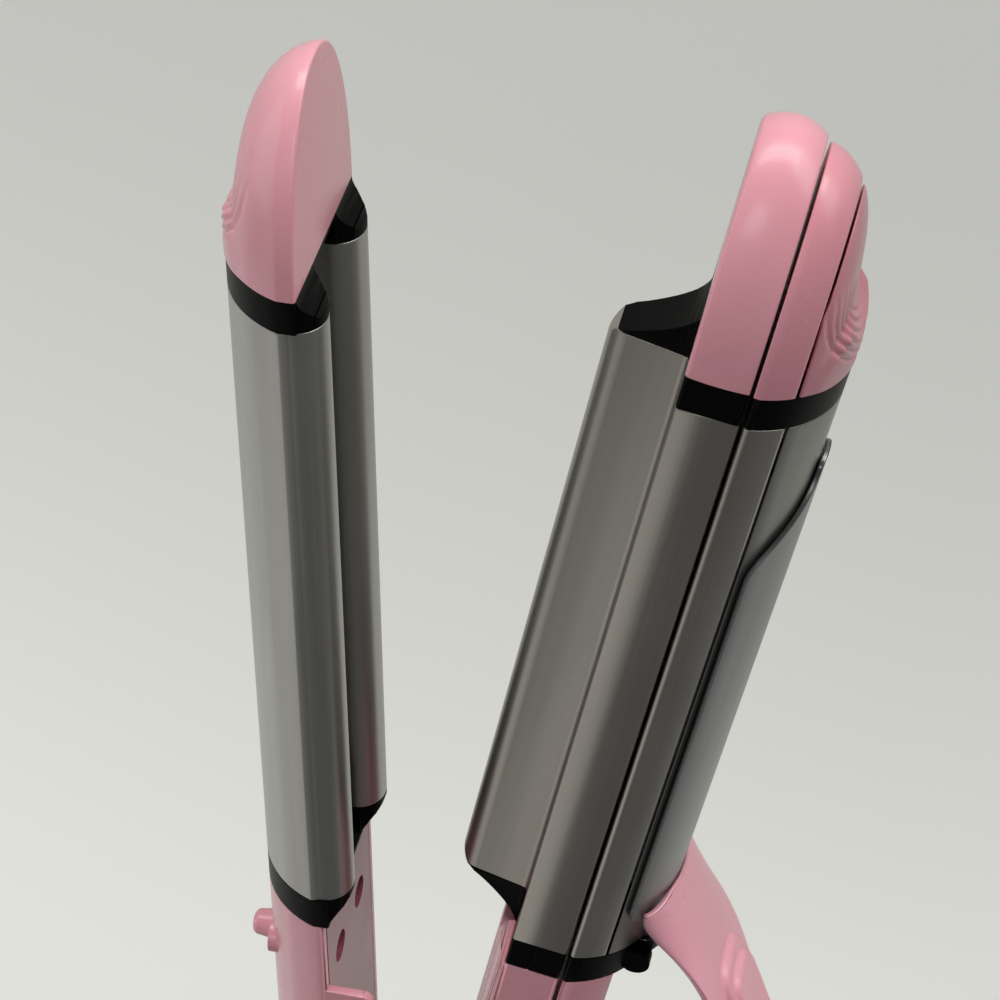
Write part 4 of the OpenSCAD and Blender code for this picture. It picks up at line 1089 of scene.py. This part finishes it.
class CurlingArm(Assembly):
    """Lower arm: plate, round barrel, split tip, collars, handle and what is inside it."""

    def surfaces(self) -> dict:
        form = TipForm(a=11, b=7.6, n=6.5)
        shape = (form, D.tip_len - 0.5, D.curl_v, -1, D.curl_c, D.curl_band)
        tip = Tip(*shape, start=0.0, end=D.plate_d, edge_r=0.25)
        cap = Tip(*shape, start=D.plate_d + D.part_gap, edge_r=0.55)
        ends = (D.barrel_u0, D.barrel_u1)
        return {"curl_tip": (tip.surface(), Arm.MIDDLE, PLAIN),
                "curl_tip_cap": (cap.surface(), Arm.MIDDLE, PLAIN),
                "curl_plate": (Surface.sweep(plate_outline(), ends), Arm.MIDDLE, ENDS),
                "curl_barrel": (Surface.sweep(round_barrel_outline(), ends), Arm.MIDDLE, ENDS)}

    def finish_of(self, node: str) -> str:
        # the curling barrel, tip and cap wear darker copies of their finishes: painted shade
        own = {"curl_barrel": "barrel_metal_round_painted_shade", "curl_tip": "pink_under_painted_shade", "curl_tip_cap": "pink_cap_painted_shade"}
        return own.get(node) or super().finish_of(node)

    def copies(self) -> dict:
        return (each(("curl_upper_collar", "curl_lower_collar"), FINE)
                | each(("curl_handle_shell", "curl_handle_cover"), SOFT)
                | each(("curl_heater", "heat_spreader", "circuit_board", "handle_screws"), FINE))


class SpringClip(Assembly):
    """Clip plate, its bracket and rivets, the thumb lever, pin and spring."""

    def surfaces(self) -> dict:
        pin_u, pin_v, half, coil_r, wire_r = D.clip_pin_u, D.curl_bottom + 1.7, 5.4, 1.75, 0.45
        foot = [[pin_u - 9, pin_v + coil_r, -half], [pin_u - 0.6, pin_v + coil_r, -half]]
        leg = ((1.6, -2.2), (1, -4), (1.6, -5.6), (5, -6.4))
        path = np.concatenate([
            eased(foot),
            coil((pin_u, pin_v), coil_r, 90, -5.25, -half, half),
            eased([[pin_u + u, pin_v + v, half] for u, v in leg], 3)])
        return {"clip_plate": (clip_surface(), Arm.MIDDLE, PRESSED),
                "clip_lever": (Lever().surface(), Arm.MIDDLE, MOULDED),
                "clip_spring": (Surface.tube(path, wire_r), Arm.MIDDLE, PLAIN)}

    def finish_of(self, node: str) -> str:
        # the lever wears a brighter copy of pink_gloss: painted light
        return "pink_lever_painted_light" if node == "clip_lever" else super().finish_of(node)

    def copies(self) -> dict:
        return each(("clip_bracket", "clip_rivets", "clip_lever_screw", "clip_pin"), FINE)


class Controls(Assembly):
    """Three push buttons and the lens of the indicator."""

    def surfaces(self) -> dict:
        made, flange = {}, 0.9
        places = (("power_button", 50, 4.2), ("warmer_button", 66, 3.2), ("cooler_button", 80, 3.2))
        for node, u, r in places:
            dish = [(0, -0.62), (0.35 * r, -0.66), (0.7 * r, -0.8), (r - 0.55, -0.9)]
            rim = [(r - 0.25, -0.86), (r - 0.06, -0.7), (r, -0.45)]
            foot = [(r, 3), (r + flange, 3), (r + flange, 3.8), (0, 3.8)]
            profile = np.array(dish + rim + foot)
            made[node] = (Surface.lathe(profile, (u, D.curl_bottom, 0)), Arm.MIDDLE, PLAIN)
        return made

    def copies(self) -> dict:
        return {"indicator_lens": FINE}


class Hinge(Assembly):
    """Hinge pin and nut, the arm spring and the swivel of the cord inlet."""

    def surfaces(self) -> dict:
        wire_r, coil_r, pin_v = 0.65, 3.6, -D.pin_depth
        half = 4.7 - wire_r
        path = np.concatenate([
            eased([[12, pin_v - coil_r, -half], [1, pin_v - coil_r, -half]]),
            coil((0, pin_v), coil_r, 270, -4.25, -half, half),
            eased([[-coil_r, pin_v + 1, half], [-coil_r, pin_v + 9, half]])])
        bore, neck, collar = 3.3, 5.5, 7.2
        bush = [(bore, 0.5), (3.8, 0), (6.8, 0), (collar, 0.4), (collar, 1.7), (neck, 1.7), (neck, 7.3),
                (collar, 7.3), (collar, 9.8), (neck, 9.8), (neck, 12), (bore, 12)]
        swivel = Surface.bush(np.array(bush), (-D.tail_len, D.axis_v, 0))
        return {"arm_spring": (Surface.tube(path, wire_r), Arm.MIDDLE, PLAIN),
                "cord_swivel": (swivel, Arm.MIDDLE, FINE)}

    def copies(self) -> dict:
        return {"hinge_pin": FINE, "hinge_nut": FINE}


# ------------------------------------------------------------------ studio
@dataclass(frozen=True)
class Lamp:
    """A soft lamp, width by height, aimed at the middle of the part."""

    name: str
    at: tuple
    size: tuple
    level: float
    color: tuple = (1.0, 1.0, 1.0)
    target: tuple = (0.24, 0.0, 0.0)

    def place(self) -> None:
        """Adds the lamp; level 1 lights a white surface facing it to 1, power = pi^2 distance^2 level."""
        data = bpy.data.lights.new(self.name, "AREA")
        data.shape = "RECTANGLE"
        data.size_y, data.size = self.size
        away = np.subtract(self.target, self.at)
        data.energy = math.pi**2 * float(away @ away) * self.level
        data.color = self.color
        aim(linked(self.name, data), self.at, away)


def put(obj: bpy.types.Object, *columns: Sequence[float]) -> None:
    """Sets an object's matrix from its x, y and z axes and its place."""
    obj.matrix_world = Matrix(np.vstack([np.stack(columns, 1), [0, 0, 0, 1]]).tolist())


def aim(obj: bpy.types.Object, at: Sequence[float], forward: Sequence[float]) -> None:
    """Puts an object at a place with its -Z along forward."""
    z = -np.asarray(forward, float) / np.linalg.norm(forward)
    x = np.cross((0.0, 1.0, 0.0) if abs(z[1]) < 0.9 else (1.0, 0.0, 0.0), z)
    x /= np.linalg.norm(x)
    put(obj, x, np.cross(z, x), z, at)


@dataclass(frozen=True)
class Studio:
    """Pale floor well below the part, soft lamps and the camera of the photograph."""

    floor_z: float = -0.30
    floor_half: float = 6.0
    pale: tuple = (0.73, 0.735, 0.69)
    # dim: the floor's painted-shade end, towards the top of the view
    dim: tuple = (0.49, 0.495, 0.467)
    own_light: float = 0.76
    mirror_share: float = 0.9
    bounce: float = 0.62
    world: float = 0.13
    sky_color: tuple = (0.98, 0.99, 1.0, 1.0)
    focal_px: float = 3168.57
    picture_px: float = 1000.0
    sensor_mm: float = 36.0
    eye: tuple = (0.5961, 0.0155, 0.3603)
    right: tuple = (0.1847, -0.9575, -0.2215)
    down: tuple = (-0.7062, -0.2861, 0.6476)
    ahead: tuple = (-0.6834, 0.0368, -0.7291)

    def floor(self) -> None:
        """A large plane; painted shade runs its colour from dim to pale along -X, towards the bottom of the
        view.
        """
        mesh = bpy.data.meshes.new("floor")
        s, z = self.floor_half, self.floor_z
        mesh.from_pydata([(-s, -s, z), (s, -s, z), (s, s, z), (-s, s, z)], [], [(0, 1, 2, 3)])
        obj = linked("floor", mesh)
        sheet = Sheet("floor")
        x = sheet.node("ShaderNodeSeparateXYZ", {}, sheet.place)
        # painted shade: the floor darkens from pale to dim along +X
        shade = (x + sheet.noise(sheet.place, 3, 1) * 0.04).between(0.2, -0.3)
        color = shade.tint(self.dim, self.pale)
        by_camera = sheet.node("ShaderNodeLightPath", {}, out="Is Camera Ray")
        by_mirror = sheet.node("ShaderNodeLightPath", {}, out="Is Glossy Ray")
        glow = (by_camera + by_mirror * self.mirror_share) * color * self.own_light
        floor = sheet.finish(color * self.bounce, 0.85, Emission_Color=glow, Emission_Strength=1.0,
                             Specular_IOR_Level=0.0)
        obj.data.materials.append(floor)

    def sky(self) -> None:
        """An even, dim world; the paleness behind the part is the floor's."""
        world = bpy.data.worlds.new("sky")
        bpy.context.scene.world = world
        world.use_nodes = True
        color, strength = world.node_tree.nodes["Background"].inputs[:2]
        color.default_value, strength.default_value = self.sky_color, self.world

    def camera(self) -> None:
        """Pinhole found from the photograph: right, down and forward axes in the row frame, in metres."""
        data = bpy.data.cameras.new("camera")
        data.sensor_width = self.sensor_mm
        data.lens = self.focal_px * self.sensor_mm / self.picture_px
        data.clip_start, data.clip_end = 0.02, 20.0
        obj = linked("camera", data)
        put(obj, self.right, np.negative(self.down), np.negative(self.ahead), self.eye)
        bpy.context.scene.camera = obj

    def build(self) -> None:
        """Floor, world, lamps and camera."""
        self.floor()
        self.sky()
        for lamp in LAMPS:
            lamp.place()
        self.camera()
        bpy.context.scene.view_settings.view_transform = "Standard"


LAMPS = (
    Lamp("key", (1.75, 0.30, 0.10), (2.2, 0.7), 1.04),
    Lamp("spark", (0.70, 0.28, 1.15), (0.45, 0.35), 0.09),
    Lamp("left", (0.20, 1.40, 0.45), (1.2, 1.0), 0.18, (0.97, 0.99, 1.0)),
    Lamp("right", (1.35, -0.85, 0.15), (1.0, 0.9), 0.33, (1.0, 0.98, 0.97)),
    Lamp("high_left", (-0.85, 0.68, 0.66), (1.0, 0.9), 0.08, (1.0, 0.97, 0.93)),
    Lamp("back_left", (-0.90, 1.10, 0.02), (1.3, 0.6), 0.04),
    Lamp("back_right", (-0.90, -1.10, 0.02), (1.3, 0.6), 0.02),
)


def main() -> None:
    """Builds the studio and every sub-assembly, and logs each piece."""
    logging.basicConfig(level=logging.INFO, format="%(message)s")
    Studio().build()
    assemblies = (WaveArm("wave arm"), MiddleArm("middle arm"), CurlingArm("curling arm"),
                  SpringClip("spring clip"), Controls("controls"), Hinge("hinge"))
    covered = [piece.node for assembly in assemblies for piece in assembly.build()]
    log.info("%d nodes covered, left over: %s", len(covered), sorted(set(SLOT_OF) - set(covered)))


if __name__ == "__main__":
    main()
